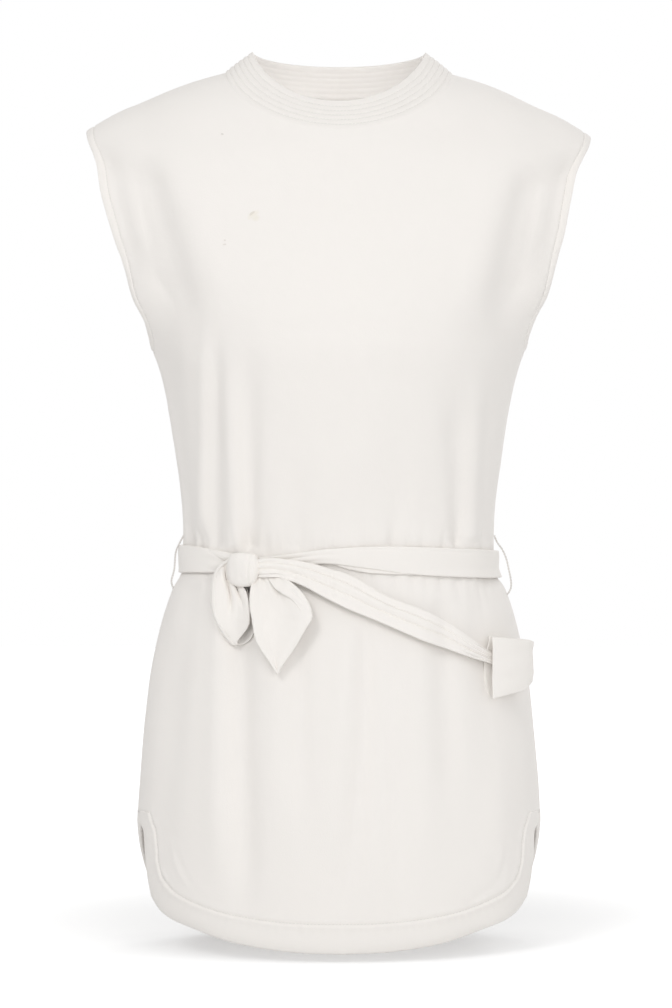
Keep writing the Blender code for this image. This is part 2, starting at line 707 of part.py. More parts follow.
def make_long_end(name, material):
    """The long end, drawn across the skirt and gathered towards its far end."""
    rows = curve_through(LONG_END, LONG_ROWS, (1.0, 1.0, 0.0, 0.0, 0.0))
    shares = [k / LONG_COLUMNS for k in range(LONG_COLUMNS + 1)]
    mids, outs = [], []
    for k, (x, z, width, lift, fold) in enumerate(rows):
        before, after = rows[max(k - 1, 0)], rows[min(k + 1, len(rows) - 1)]
        a, _ = on_form_at(before[0], before[1], before[3])
        b, _ = on_form_at(after[0], after[1], after[3])
        mid, out = on_form_at(x, z, lift)
        out = unit(out * LEAN)
        across = unit(np.cross(out, b - a))
        for share in shares:
            wave = math.cos(2 * math.pi * share * 1.5)
            mids.append(mid + across * width * (share - 0.5) + out * fold * wave)
            outs.append(out)
    return make_wall(name, mids, outs, strip_cells(len(rows), len(shares)), SASH_WALL, material)


def make_end_fold(name, material):
    """The sash's far end, folded back flat so that its fold points away from the strap."""
    plan = curve_through(END_FOLD, END_STEPS)
    mids, outs = [], []
    low_x, high_x = END_FOLD[0][0], max(x for x, _ in END_FOLD)
    for k, (x, y) in enumerate(plan):
        before, after = plan[max(k - 1, 0)], plan[min(k + 1, len(plan) - 1)]
        run = unit((after[0] - before[0], after[1] - before[1], 0))
        out = np.array((run[1], -run[0], 0))
        share = min(max((x - low_x) / (high_x - low_x), 0), 1)
        for level in range(END_LEVELS):
            z = mix(mix(*END_BOTTOM, share), mix(*END_TOP, share), level / (END_LEVELS - 1))
            mids.append(np.array((x, y, z)))
            outs.append(out)
    return make_wall(name, mids, outs, strip_cells(len(plan), END_LEVELS), SASH_WALL, material)


def make_carrier(name, mirror, material):
    """A thread loop at the side, round the outside of the sash."""
    data = bpy.data.curves.new(name, "CURVE")
    data.dimensions = "3D"
    data.bevel_depth = CARRIER_RADIUS * CM
    data.bevel_resolution = 1
    data.use_fill_caps = True
    spline = data.splines.new("POLY")
    path = curve_through(CARRIER, CARRIER_STEPS)
    spline.points.add(len(path) - 1)
    for point, (lift, z) in zip(spline.points, path):
        x = half_width(z) + lift
        point.co = (mirror * x * CM, CARRIER_Y * CM, z * CM, 1)
    data.materials.append(material)
    return new_object(name, data)


# ---------------------------------------------------------------- the whole tunic
def make_cloth_material(name, tint=1.0):
    material = bpy.data.materials.new(name)
    material.use_nodes = True
    shader = material.node_tree.nodes["Principled BSDF"]
    colour = [c * tint for c in CLOTH[:3]] + [1.0]
    shader.inputs["Base Color"].default_value = colour
    shader.inputs["Roughness"].default_value = CLOTH_ROUGHNESS
    shader.inputs["Metallic"].default_value = 0.0
    return material


def main():
    for obj in list(bpy.data.objects):
        bpy.data.objects.remove(obj, do_unlink=True)
    collection = bpy.data.collections.new(COLLECTION)
    bpy.context.scene.collection.children.link(collection)

    panel_cloth = make_cloth_material("panel_cloth")
    band_cloth = make_cloth_material("band_cloth", 0.99)
    sash_cloth = make_cloth_material("sash_cloth", 0.98)
    thread = make_cloth_material("thread", 0.96)

    make_panel("front_panel_top", -1, panel_cloth, part=1)
    make_panel("front_panel_skirt", -1, panel_cloth, part=-1)
    make_panel("back_panel", 1, panel_cloth)
    make_neckband("neckband", band_cloth)
    make_armhole_band("armhole_band_left", -1, band_cloth)
    make_armhole_band("armhole_band_right", 1, band_cloth)
    make_hem_band("hem_band_front", -1, band_cloth)
    make_hem_band("hem_band_back", 1, band_cloth)
    make_sash_round("sash_round", sash_cloth)
    make_knot("sash_knot", sash_cloth)
    make_tail("sash_tail_left", TAIL_LEFT, sash_cloth)
    make_tail("sash_tail_right", TAIL_RIGHT, sash_cloth)
    make_long_end("sash_long_end", sash_cloth)
    make_end_fold("sash_end_fold", sash_cloth)
    make_carrier("carrier_left", -1, thread)
    make_carrier("carrier_right", 1, thread)


main()
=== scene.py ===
# %% [markdown]
# # A sleeveless tunic top
#
# This notebook dresses a plain solid model of a tunic. The garment is filled out as if it were worn, but it is
# hollow: two panels of heavy ivory crepe, a neckband stitched into channels, turned armhole edges, a shaped
# hem band with a vent at each side, and a sash of the same cloth, tied left of the centre.
#
# The solid model arrives as a fixed frame. Nothing in it is moved. Each cell makes one finer piece that takes
# the place of one solid, so the first thing to do is to load the frame.

# %% Load the frame
import math

import bmesh
import bpy
import numpy as np
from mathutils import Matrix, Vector
from mathutils.kdtree import KDTree


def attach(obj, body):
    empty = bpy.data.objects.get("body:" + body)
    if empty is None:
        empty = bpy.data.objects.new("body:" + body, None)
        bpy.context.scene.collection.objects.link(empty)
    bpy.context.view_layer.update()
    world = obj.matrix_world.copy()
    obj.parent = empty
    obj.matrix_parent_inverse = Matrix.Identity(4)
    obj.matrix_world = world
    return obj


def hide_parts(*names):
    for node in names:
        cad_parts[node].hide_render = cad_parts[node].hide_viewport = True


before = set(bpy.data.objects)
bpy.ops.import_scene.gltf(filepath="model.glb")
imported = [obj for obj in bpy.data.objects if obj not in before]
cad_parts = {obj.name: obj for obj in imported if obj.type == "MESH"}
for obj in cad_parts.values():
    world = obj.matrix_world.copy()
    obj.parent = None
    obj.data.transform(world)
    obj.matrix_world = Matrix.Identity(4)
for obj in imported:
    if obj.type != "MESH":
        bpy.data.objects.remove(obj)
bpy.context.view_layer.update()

CM = 0.01              # lengths below are in centimetres

# %% [markdown]
# ## The form under the cloth
#
# A worn garment has no flat side, yet its shape is simple: at each height it is close to an ellipse. One table
# holds the half width, the depth in front and the depth behind at a few heights, and a smooth curve through
# each column gives every height between them. A rounded cap closes the form over the shoulders. Modelling the
# cloth on such a form, and not on a sculpted mesh, keeps every piece on the same surface, so that a band can
# never float off its panel.

# %% Tables of the form
# height, half width, front depth, back depth
FORM = (
    (2.0, 25.2, 8.6, 9.2),
    (-6.8, 25.1, 8.7, 9.2),
    (-9.2, 24.6, 9.3, 9.4),
    (-12.0, 23.8, 10.1, 9.7),
    (-15.0, 22.5, 10.9, 9.9),
    (-17.9, 21.0, 11.6, 9.9),
    (-21.2, 19.0, 12.3, 9.8),
    (-23.8, 17.15, 12.6, 9.6),
    (-25.3, 16.3, 12.6, 9.4),
    (-29.2, 15.05, 11.9, 8.9),
    (-34.5, 14.15, 10.6, 8.2),
    (-41.4, 13.45, 9.2, 7.6),
    (-44.6, 13.45, 9.0, 7.7),
    (-46.8, 14.45, 9.6, 8.4),
    (-50.1, 15.5, 10.2, 9.3),
    (-55.3, 16.5, 10.9, 10.4),
    (-60.6, 17.05, 11.3, 11.1),
    (-67.5, 17.4, 11.8, 11.6),
    (-78.0, 17.0, 12.2, 12.0),
)
# half width from the centre, height of the shoulder line
SHOULDER = (
    (0.0, 0.8), (9.8, -1.8), (11.7, -2.3), (14.2, -3.1),
    (17.0, -4.3), (19.0, -5.1), (22.0, -6.9), (26.0, -9.6),
)
CAP_DEPTH = 9.0        # the shoulders round over within this height
SEAM_FORWARD = 1.2     # the side seams lie this far in front of the widest point
SHOULDER_TIP = 21.9    # half width at the shoulder tips
UNDERARM = -25.3
FRONT, BACK = -1, 1
PANELS = (("front", FRONT), ("back", BACK))
SIDES = (("left", -1), ("right", 1))


def between(low, high, slope_low, slope_high, s):
    """Value at a share s of the way between two points of a smooth curve; the slopes are for the whole way."""
    start = low * (1 + 2 * s) * (1 - s) ** 2 + slope_low * s * (1 - s) ** 2
    return start + high * s * s * (3 - 2 * s) - slope_high * s * s * (1 - s)


def smooth_line(rows, column=1):
    """A function through one column of a table over its first column, without overshoot."""
    ordered = sorted(rows)
    x = np.array([row[0] for row in ordered], float)
    y = np.array([row[column] for row in ordered], float)
    step = np.diff(x)
    rise = np.diff(y) / step
    slope = np.r_[rise[0], np.zeros(len(x) - 2), rise[-1]]
    for i in range(1, len(x) - 1):
        if rise[i - 1] * rise[i] > 0:
            before, after = 2 * step[i] + step[i - 1], step[i] + 2 * step[i - 1]
            slope[i] = (before + after) / (before / rise[i - 1] + after / rise[i])

    def at(value):
        value = np.clip(value, x[0], x[-1])
        i = np.clip(np.searchsorted(x, value) - 1, 0, len(step) - 1)
        return between(y[i], y[i + 1], slope[i] * step[i], slope[i + 1] * step[i], (value - x[i]) / step[i])

    return at


half_width = smooth_line(FORM, 1)
front_depth = smooth_line(FORM, 2)
back_depth = smooth_line(FORM, 3)
shoulder_line = smooth_line(SHOULDER)
for place, z in (("waist", -43.0), ("hip", -67.5)):
    girth = math.pi * (half_width(z) + (front_depth(z) + back_depth(z)) / 2)
    print(place, "girth about", round(float(girth)), "cm")

# %% [markdown]
# The form is then a function of an angle round the body and a height. Its outward direction comes from the
# slope of its own equation, so it stays smooth however fine the mesh on top of it is.

# %% Points and directions of the form
def eased(t):
    """A soft step: 0 below 0, 1 above 1."""
    t = np.clip(t, 0.0, 1.0)
    return t * t * (3 - 2 * t)


def mix(a, b, t):
    """a at 0, b at 1."""
    return a + (b - a) * t


def unit(v):
    return v / np.linalg.norm(v, axis=-1, keepdims=True)


def bell(distance, half):
    """1 at no distance, falling smoothly to about a third at half."""
    return np.exp(-((distance / half) ** 2))


def depth_at(y, z):
    return np.where(y < 0, front_depth(z), back_depth(z))


def cap(x, z):
    """1 on the trunk, falling to 0 at the shoulder line."""
    below = np.minimum((shoulder_line(np.abs(x)) - z) / CAP_DEPTH, 1.0)
    return 1 - (1 - below) ** 2


def form_point(side, degrees, z):
    """Point of the form at an angle from the centre of the front or the back, and a height."""
    angle = np.radians(degrees)
    x = half_width(z) * np.sin(angle)
    toward = side * np.cos(angle)
    y = toward * depth_at(toward, z) * np.sqrt(np.maximum(cap(x, z), 0.0))
    return np.stack(np.broadcast_arrays(x, y, z), -1)


def form_normal(p):
    """Direction out of the form at points on it, from the slopes of its equation."""
    depth_side = p[..., 1]

    def beyond(x, y, z):
        return (y / depth_at(depth_side, z)) ** 2 - (1 - (x / half_width(z)) ** 2) * cap(x, z)

    h = 0.02           # step over which the slopes are taken
    x, y, z = p[..., 0], p[..., 1], p[..., 2]
    return unit(np.stack((
        beyond(x + h, y, z) - beyond(x - h, y, z),
        beyond(x, y + h, z) - beyond(x, y - h, z),
        beyond(x, y, z + h) - beyond(x, y, z - h),
    ), -1))


def seam_turn(z):
    """Angle of the side seams from the front's centre; they lie just in front of the widest point."""
    return np.degrees(np.arccos(SEAM_FORWARD / front_depth(z)))


def turn_of(side, degrees):
    """Angle from the front's centre, for an angle from the centre of the front or the back."""
    return degrees if side == FRONT else np.copysign(180.0, degrees) - degrees


def degrees_at(x, z):
    """Angle from the centre of the front or the back, for a distance across at a height."""
    return np.degrees(np.arcsin(np.clip(x / half_width(z), -1.0, 1.0)))


NEAR_SIDES = 0.2       # centimetres to a degree beside the side seams
print("side seam at the waist:", round(float(seam_turn(-42.0)), 1), "degrees from the front's centre")

# %% [markdown]
# ## How the cloth falls
#
# Heavy crepe hangs in few, soft folds. They start where something holds the cloth: at the shoulder tips, under
# the fullest part of the chest, and above all at the sash, which gathers it. A simulation would give folds
# somewhere else each time. Placed one by one, each fold is one row: a path from top to bottom that may bow
# sideways, a width at both ends, a depth, and the length over which each end dies out. No two rows are alike.

# %% Main folds, front and back
# side, top x, top height, bow, bottom x, bottom height, half width at top, at bottom, depth, fade top, fade low
FOLDS = (
    # from the shoulder tips, down the sides of the chest
    (FRONT, -20.8, -7.2, 0.0, -17.6, -22.5, 1.2, 1.4, -0.95, 3.0, 5.0),
    (FRONT, -18.7, -8.8, 0.0, -17.3, -19.0, 0.45, 0.55, 0.13, 3.0, 4.0),
    (FRONT, -18.6, -8.0, 0.0, -15.2, -25.0, 1.3, 1.6, -0.88, 3.5, 5.0),
    (FRONT, -17.0, -8.2, -0.1, -12.0, -27.5, 1.3, 1.9, -0.90, 4.0, 7.0),
    (FRONT, -12.9, -11.0, -0.4, -9.0, -24.0, 1.3, 1.5, 0.16, 5.0, 6.0),
    (FRONT, -15.6, -17.0, 0.0, -13.2, -43.2, 1.3, 1.2, -0.34, 8.0, 1.0),
    (FRONT, 15.6, -17.0, 0.0, 13.4, -43.2, 1.3, 1.2, -0.12, 8.0, 1.0),
    (FRONT, 20.8, -7.6, 0.0, 17.7, -22.0, 1.2, 1.4, -0.92, 3.0, 5.0),
    (FRONT, 18.5, -9.2, 0.0, 17.3, -18.0, 0.45, 0.55, 0.12, 3.0, 4.0),
    (FRONT, 18.6, -8.4, 0.0, 15.5, -24.5, 1.3, 1.6, -0.85, 3.5, 5.0),
    (FRONT, 17.0, -8.8, -0.3, 13.3, -27.5, 1.3, 1.9, -0.85, 4.0, 7.0),
    (FRONT, 12.9, -11.5, 0.3, 10.0, -24.5, 1.3, 1.5, 0.15, 5.0, 6.0),
    # from under the chest into the sash
    (FRONT, -7.7, -24.0, -0.15, -7.5, -43.4, 1.35, 0.75, -0.55, 8.0, 0.8),
    (FRONT, -9.2, -25.5, 0.0, -8.7, -43.4, 1.0, 0.6, 0.30, 7.0, 0.8),
    (FRONT, -11.3, -23.0, 0.1, -11.8, -42.0, 0.6, 0.6, 0.26, 5.0, 2.0),
    (FRONT, -10.4, -24.0, -0.1, -10.6, -43.2, 0.9, 0.7, -0.40, 5.0, 0.8),
    (FRONT, 13.3, -26.5, -0.2, 12.3, -42.8, 0.9, 0.7, -0.14, 6.0, 0.8),
    (FRONT, 11.8, -27.0, 0.0, 11.4, -42.6, 0.9, 0.7, 0.24, 6.0, 0.8),
    (FRONT, 9.6, -27.0, 0.3, 10.0, -43.0, 1.5, 0.6, -0.36, 7.0, 0.8),
    (FRONT, 4.9, -33.0, 0.2, 4.6, -43.2, 1.5, 0.8, -0.20, 6.0, 0.8),
    (FRONT, -3.2, -32.0, -0.2, -3.5, -43.4, 1.6, 0.9, -0.17, 7.0, 0.8),
    (FRONT, 1.4, -30.5, 0.1, 1.2, -43.4, 1.3, 0.8, 0.10, 7.0, 0.8),
    # from the sash down the skirt
    (FRONT, -14.3, -48.5, 0.0, -15.2, -72.0, 1.2, 1.4, -0.30, 4.0, 7.0),
    (FRONT, 14.3, -55.0, 0.0, 15.0, -72.0, 1.2, 1.4, -0.07, 5.0, 7.0),
    (FRONT, -8.4, -45.4, -0.15, -7.7, -75.6, 1.0, 1.3, -0.66, 0.8, 8.0),
    (FRONT, -10.0, -45.4, -0.2, -10.2, -73.0, 0.8, 1.2, 0.28, 0.8, 8.0),
    (FRONT, -12.6, -45.4, -0.3, -13.9, -66.0, 0.8, 1.4, -0.17, 0.8, 9.0),
    (FRONT, -5.6, -47.5, 0.1, -5.0, -70.0, 1.3, 1.7, 0.30, 3.0, 9.0),
    (FRONT, -3.4, -49.0, 0.1, -3.2, -68.0, 0.8, 1.0, -0.34, 5.0, 9.0),
    (FRONT, 2.2, -48.0, 0.85, 0.1, -75.0, 0.8, 1.3, -0.48, 3.5, 8.0),
    (FRONT, 4.2, -58.0, 0.0, 5.3, -75.6, 0.9, 1.2, -0.26, 6.0, 4.0),
    (FRONT, 0.4, -49.0, 0.5, -1.6, -71.0, 0.9, 1.5, 0.22, 5.0, 8.0),
    (FRONT, 6.4, -47.5, 0.1, 7.2, -72.0, 1.0, 1.4, 0.24, 3.0, 9.0),
    (FRONT, 8.6, -46.5, 0.0, 9.6, -68.0, 0.8, 1.2, -0.28, 2.0, 9.0),
    (FRONT, 11.6, -45.6, 0.1, 12.9, -70.0, 0.8, 1.5, -0.10, 0.8, 9.0),
    (FRONT, 13.6, -58.0, 0.0, 13.0, -74.0, 1.2, 1.5, 0.18, 6.0, 5.0),
    # back
    (BACK, -12.9, -9.5, -0.6, -7.3, -31.0, 1.3, 2.1, -0.42, 5.0, 8.0),
    (BACK, 13.1, -9.0, 0.5, 8.2, -29.0, 1.2, 2.0, -0.40, 5.0, 7.0),
    (BACK, -16.6, -8.0, 0.0, -14.9, -21.0, 0.8, 1.4, -0.24, 3.0, 7.0),
    (BACK, 16.4, -8.4, 0.0, 15.1, -20.0, 0.8, 1.3, -0.22, 3.0, 7.0),
    (BACK, -3.0, -12.0, 0.2, -2.4, -30.0, 2.0, 2.2, 0.16, 7.0, 9.0),
    (BACK, -6.3, -25.0, -0.2, -5.5, -43.2, 1.4, 0.75, -0.52, 8.0, 0.8),
    (BACK, -8.4, -27.0, 0.0, -8.0, -43.2, 1.1, 0.7, 0.26, 7.0, 0.8),
    (BACK, -10.6, -27.0, 0.2, -11.0, -43.0, 1.1, 0.7, -0.36, 8.0, 0.8),
    (BACK, -2.4, -30.0, 0.0, -2.2, -43.2, 1.2, 0.8, 0.26, 8.0, 0.8),
    (BACK, 1.2, -31.0, 0.1, 1.0, -43.2, 1.3, 0.8, -0.26, 8.0, 0.8),
    (BACK, 3.8, -32.0, 0.0, 3.6, -43.2, 1.0, 0.7, 0.16, 7.0, 0.8),
    (BACK, 6.9, -26.0, 0.3, 6.1, -43.2, 1.5, 0.75, -0.50, 8.0, 0.8),
    (BACK, 9.3, -29.0, 0.0, 8.6, -43.0, 1.0, 0.7, 0.24, 7.0, 0.8),
    (BACK, 11.4, -28.0, -0.2, 11.2, -42.8, 1.0, 0.7, -0.34, 7.0, 0.8),
    (BACK, -9.7, -45.6, -0.4, -10.8, -72.0, 1.0, 1.9, -0.44, 0.8, 9.0),
    (BACK, -12.4, -45.6, 0.0, -13.9, -68.0, 0.8, 1.5, 0.22, 0.8, 9.0),
    (BACK, -6.8, -46.5, 0.1, -7.2, -70.0, 0.9, 1.7, 0.24, 2.0, 9.0),
    (BACK, -3.4, -45.6, -0.3, -4.1, -75.6, 1.1, 2.0, -0.56, 0.8, 7.0),
    (BACK, 0.7, -45.6, 0.3, 1.0, -66.0, 0.9, 1.6, 0.28, 0.8, 8.0),
    (BACK, 4.6, -45.6, 0.3, 5.7, -75.0, 1.0, 1.9, -0.50, 0.8, 7.0),
    (BACK, 7.4, -47.0, 0.0, 8.3, -68.0, 0.9, 1.6, 0.22, 3.0, 8.0),
    (BACK, 9.8, -45.6, 0.3, 11.2, -71.0, 1.0, 1.7, -0.42, 0.8, 8.0),
    (BACK, 12.8, -45.8, 0.0, 14.0, -66.0, 0.8, 1.3, 0.18, 0.8, 8.0),
)


def fold_height(side, x, z):
    """How far the folds lift the cloth off the form here."""
    lift = np.zeros(np.broadcast(x, z).shape)
    for fold_side, x_top, z_top, bow, x_low, z_low, wide_top, wide_low, depth, fade_top, fade_low in FOLDS:
        if fold_side == side:
            down = np.clip((z_top - z) / (z_top - z_low), 0.0, 1.0)
            centre = mix(x_top, x_low, down) + bow * np.sin(math.pi * down)
            ends = eased((z_top - z) / fade_top) * eased((z - z_low) / fade_low)
            lift += depth * ends * bell(x - centre, mix(wide_top, wide_low, down))
    return lift


print(len(FOLDS), "main folds, deepest", max(abs(row[8]) for row in FOLDS) * 10, "mm")

# %% [markdown]
# A few creases don't run down the cloth: they cross the corners of the hem, and slant in from the armholes.
# A main fold is a straight row and can't bend like that, so each crease is a short curve through three or four
# points, and the cloth rises or sinks by its distance from that curve.

# %% Short creases that run askew
def run_of(path):
    """Distance along a path at each of its points."""
    return np.r_[0.0, np.cumsum(np.linalg.norm(np.diff(path, axis=0), axis=1))]


def curve_at(points, shares, weights=None):
    """Points at the given shares of the length of a smooth curve through a table."""
    knots = np.array(points, float)
    span = run_of(knots * (np.ones(knots.shape[1]) if weights is None else np.array(weights)))
    slope = np.gradient(knots, span, axis=0)
    value = np.asarray(shares, float) * span[-1]
    i = np.clip(np.searchsorted(span, value) - 1, 0, len(span) - 2)
    step = (span[i + 1] - span[i])[:, None]
    return between(knots[i], knots[i + 1], slope[i] * step, slope[i + 1] * step, (value - span[i])[:, None] / step)


# side, points across and up, half width, height
CREASES = (
    (FRONT, ((-14.3, -67.8), (-14.0, -69.4), (-13.1, -71.0), (-11.9, -72.2)), 0.20, 0.075),
    (FRONT, ((-13.7, -68.6), (-13.3, -70.0), (-12.4, -71.4)), 0.16, -0.070),
    (FRONT, ((-12.7, -70.2), (-11.9, -71.4), (-10.4, -72.6)), 0.18, 0.045),
    (FRONT, ((-10.2, -71.0), (-9.4, -72.0), (-8.2, -73.0)), 0.20, -0.040),
    (FRONT, ((9.7, -73.1), (10.9, -72.3), (12.2, -71.3), (13.2, -70.8)), 0.16, 0.085),
    (FRONT, ((10.2, -73.2), (11.3, -72.5), (12.4, -71.7)), 0.14, -0.070),
    (FRONT, ((11.6, -72.8), (12.7, -72.2), (13.8, -71.6), (14.4, -70.6)), 0.16, 0.085),
    (FRONT, ((12.9, -71.4), (13.7, -70.3), (14.0, -68.6)), 0.16, -0.075),
    (FRONT, ((13.2, -70.6), (13.6, -69.2), (13.7, -67.4)), 0.20, 0.060),
    (FRONT, ((-19.3, -7.8), (-18.0, -11.2), (-17.0, -15.4), (-16.3, -18.4)), 0.40, -0.110),
    (FRONT, ((-18.6, -8.6), (-17.3, -12.4), (-16.4, -16.0)), 0.32, 0.080),
    (FRONT, ((19.0, -8.4), (18.0, -12.0), (17.0, -15.8), (16.0, -19.0)), 0.40, -0.100),
    (FRONT, ((16.6, -19.4), (15.4, -21.6), (14.2, -23.0)), 0.35, -0.080),
    (FRONT, ((-16.9, -18.6), (-15.6, -21.2), (-14.0, -23.2)), 0.35, -0.090),
    (BACK, ((-13.8, -68.0), (-13.3, -69.8), (-12.2, -71.4)), 0.20, 0.060),
    (BACK, ((-12.9, -69.2), (-12.2, -70.8), (-11.0, -72.2)), 0.17, -0.055),
    (BACK, ((14.0, -68.4), (13.2, -70.2), (11.8, -71.8)), 0.20, 0.065),
    (BACK, ((12.6, -70.0), (11.4, -71.6), (9.8, -72.8)), 0.18, -0.055),
)
CREASE_SPOTS = 40      # points along each crease, to measure distances from


def crease_height(side, x, z):
    """How far the short creases lift the cloth; each dies out towards its two ends."""
    x, z = np.broadcast_arrays(x, z)
    lift = np.zeros(x.shape)
    for crease_side, points, half, height in CREASES:
        points = np.array(points)
        low, high = points.min(0) - 3 * half, points.max(0) + 3 * half
        near = (x > low[0]) & (x < high[0]) & (z > low[1]) & (z < high[1])
        if crease_side != side or not near.any():
            continue
        spots = curve_at(points, np.linspace(0, 1, CREASE_SPOTS))
        away = np.hypot(x[near][:, None] - spots[None, :, 0], z[near][:, None] - spots[None, :, 1])
        place = np.clip(away.argmin(1) / (CREASE_SPOTS - 1), 0.02, 0.98)
        lift[near] += height * bell(away.min(1), half) * np.sin(math.pi * place) ** 0.7
    return lift


print(len(CREASES), "short creases")

# %% [markdown]
# Small things make cloth read as cloth: short gathers where the sash squeezes it, puckers where a stitch line
# pulls, and a faint unevenness everywhere. The gathers come from a loop with a fixed seed, so the script gives
# the same cloth each time. The unevenness is a sum of long waves in random directions, which is smooth and
# knows nothing of the seams, so it crosses them without a step.

# %% Gathers at the sash and the cloth's unevenness
random = np.random.default_rng(7)
GATHER_STEP = 1.15     # centimetres from one gather to the next
WAIST = (-42.7, -45.6)         # heights between which the sash lies
WAIST_HALF = 12.9      # half width over which the gathers lie


def waist_gathers():
    """side, x, height at the sash, length away from it, half width, depth, direction (up 1, down -1)."""
    rows = []
    for side in (FRONT, BACK):
        for direction, start in ((1, WAIST[0]), (-1, WAIST[1])):
            x = -WAIST_HALF
            while x < WAIST_HALF:
                x += GATHER_STEP * random.uniform(0.55, 1.6)
                length = random.uniform(1.4, 4.2)
                depth = -random.uniform(0.06, 0.17)
                rows.append((side, x, start, length, random.uniform(0.16, 0.34), depth, direction))
    return rows


GATHERS = waist_gathers() + [
    (FRONT, -12.75, WAIST[0], 2.6, 0.24, -0.28, 1),
    (FRONT, -11.95, WAIST[0], 2.0, 0.20, -0.30, 1),
    (FRONT, -7.75, WAIST[0] - 0.6, 3.4, 0.30, -0.25, 1),
    (FRONT, 10.05, WAIST[0], 3.2, 0.24, -0.26, 1),
    (FRONT, 12.55, WAIST[1], 2.4, 0.28, -0.22, -1),
]


def gather_height(side, x, z):
    """How far the gathers lift the cloth; each leans outward and widens away from the sash."""
    lift = np.zeros(np.broadcast(x, z).shape)
    for gather_side, at_x, start, length, half, depth, direction in GATHERS:
        if gather_side == side:
            away = (z - start) * direction
            ends = eased((away + 1.2) / 1.0) * eased(1 - away / length)
            away = np.maximum(away, 0.0)
            lift += depth * ends * bell(x - at_x * (1 + 0.012 * away), half * (1 + 0.15 * away))
    return lift


def wave_set(count, shortest, longest):
    """Waves in random directions, between two lengths: their vectors and phases."""
    directions = unit(random.normal(size=(count, 3)))
    lengths = np.exp(random.uniform(math.log(shortest), math.log(longest), count))
    return directions * (math.tau / lengths)[:, None], random.uniform(0, math.tau, count)


LONG_WAVES = wave_set(18, 4.0, 9.0)
SHORT_WAVES = wave_set(24, 0.7, 1.8)


def unevenness(p, waves):
    """Between about -1 and 1, the same for every piece at the same point."""
    vectors, phases = waves
    total = np.zeros(p.shape[:-1])
    for vector, phase in zip(vectors, phases):
        total += np.sin(p @ vector + phase)
    return total / math.sqrt(len(phases) / 2) / 1.6


print(len(GATHERS), "gathers at the waist")

# %% [markdown]
# Folds, creases, gathers and unevenness add up to one height over the form. Near the side seams and over the
# shoulders the cloth is held, so there the folds calm down. Every piece asks this one function where the cloth
# is, and that is why they all meet.

# %% The cloth's place
LONG_HEIGHT, SHORT_HEIGHT = 0.035, 0.006       # of the unevenness, in long waves and in short ones
CALM_CAP = 0.35        # the folds die out over the shoulders, below this share of the form's depth
CALM_FOLDS, CALM_GATHERS = 2.0, 0.8            # and within these distances of a side seam


def cloth_point(turn, z):
    """Mid point of the cloth and the direction out of it. turn is the angle from the front's centre."""
    on_form = form_point(FRONT, turn, z)
    out = form_normal(on_form)
    x, y = on_form[..., 0], on_form[..., 1]
    from_seam = np.abs(seam_turn(z) - np.abs(turn)) * NEAR_SIDES
    calm = eased(cap(x, z) / CALM_CAP) * eased(from_seam / CALM_FOLDS)

    def relief(height):
        return np.where(y < -SEAM_FORWARD, height(FRONT, x, z), height(BACK, x, z))

    lift = (relief(fold_height) + relief(crease_height)) * calm
    lift = lift + relief(gather_height) * eased(from_seam / CALM_GATHERS)
    lift = lift + LONG_HEIGHT * unevenness(on_form, LONG_WAVES) + SHORT_HEIGHT * unevenness(on_form, SHORT_WAVES)
    return on_form + out * lift[..., None], out


def on_cloth(x, z, lift, side=FRONT):
    """Point a given distance out from the front or the back, at x across and z up."""
    mid, out = cloth_point(turn_of(side, degrees_at(x, z)), z)
    return mid + out * np.asarray(lift)[..., None], out


print("the cloth stands", round(float(-on_cloth(0.0, -30.0, 0.0)[0][1]), 1), "cm in front at the ribs")

# %% [markdown]
# ## Lines on the form
#
# A dressmaker marks the cut on the cloth: armhole, vent, hem, neck. Here each line is a short table of angles
# round the body and heights, and a smooth curve through it. The same curve can be sampled coarsely or finely,
# so two pieces that meet along a line can share it exactly.

# %% Tables of the cut lines
NECK_HALF, NECK_SIDE, NECK_FRONT, NECK_BACK = 9.8, -1.8, -7.5, -3.0
COLLAR_HALF, COLLAR_FRONT, COLLAR_BACK, COLLAR_DROP = 7.5, (-6.5, -5.0), (6.0, -0.5), 1.15
VENT_TOP = -66.4
BAND_TOP = -65.6       # top of the hem bands beside the vents
ARMHOLE_BAND = 0.8     # width of the stitched edge round an armhole
METRIC = (0.21, 1.0)   # centimetres to a degree near the sides, and to a centimetre
# from the side seam up to the shoulder tip: degrees from the centre of the front or the back, height
ARMHOLE = {
    FRONT: ((82.0, -25.0), (76.6, -23.8), (71.6, -21.2), (67.0, -17.9), (63.4, -15.0), (61.0, -12.0), (59.9, -9.2)),
    BACK: ((87.0, -25.0), (77.8, -23.7), (69.0, -21.2), (63.0, -17.9), (60.2, -15.0), (58.6, -12.0), (58.4, -9.2)),
}
# free edge of the vent, then of the hem, to the centre
HEM = {
    FRONT: (
        (77.2, -67.3), (75.3, -69.3), (73.3, -71.3), (70.2, -72.85),
        (63.8, -73.85), (44.9, -75.2), (29.4, -76.15), (14.2, -76.65), (0.0, -76.8),
    ),
    BACK: (
        (90.5, -67.8), (84.5, -69.6), (78.5, -71.4), (73.0, -72.85),
        (64.0, -73.85), (44.9, -75.2), (29.4, -76.15), (14.2, -76.65), (0.0, -76.8),
    ),
}
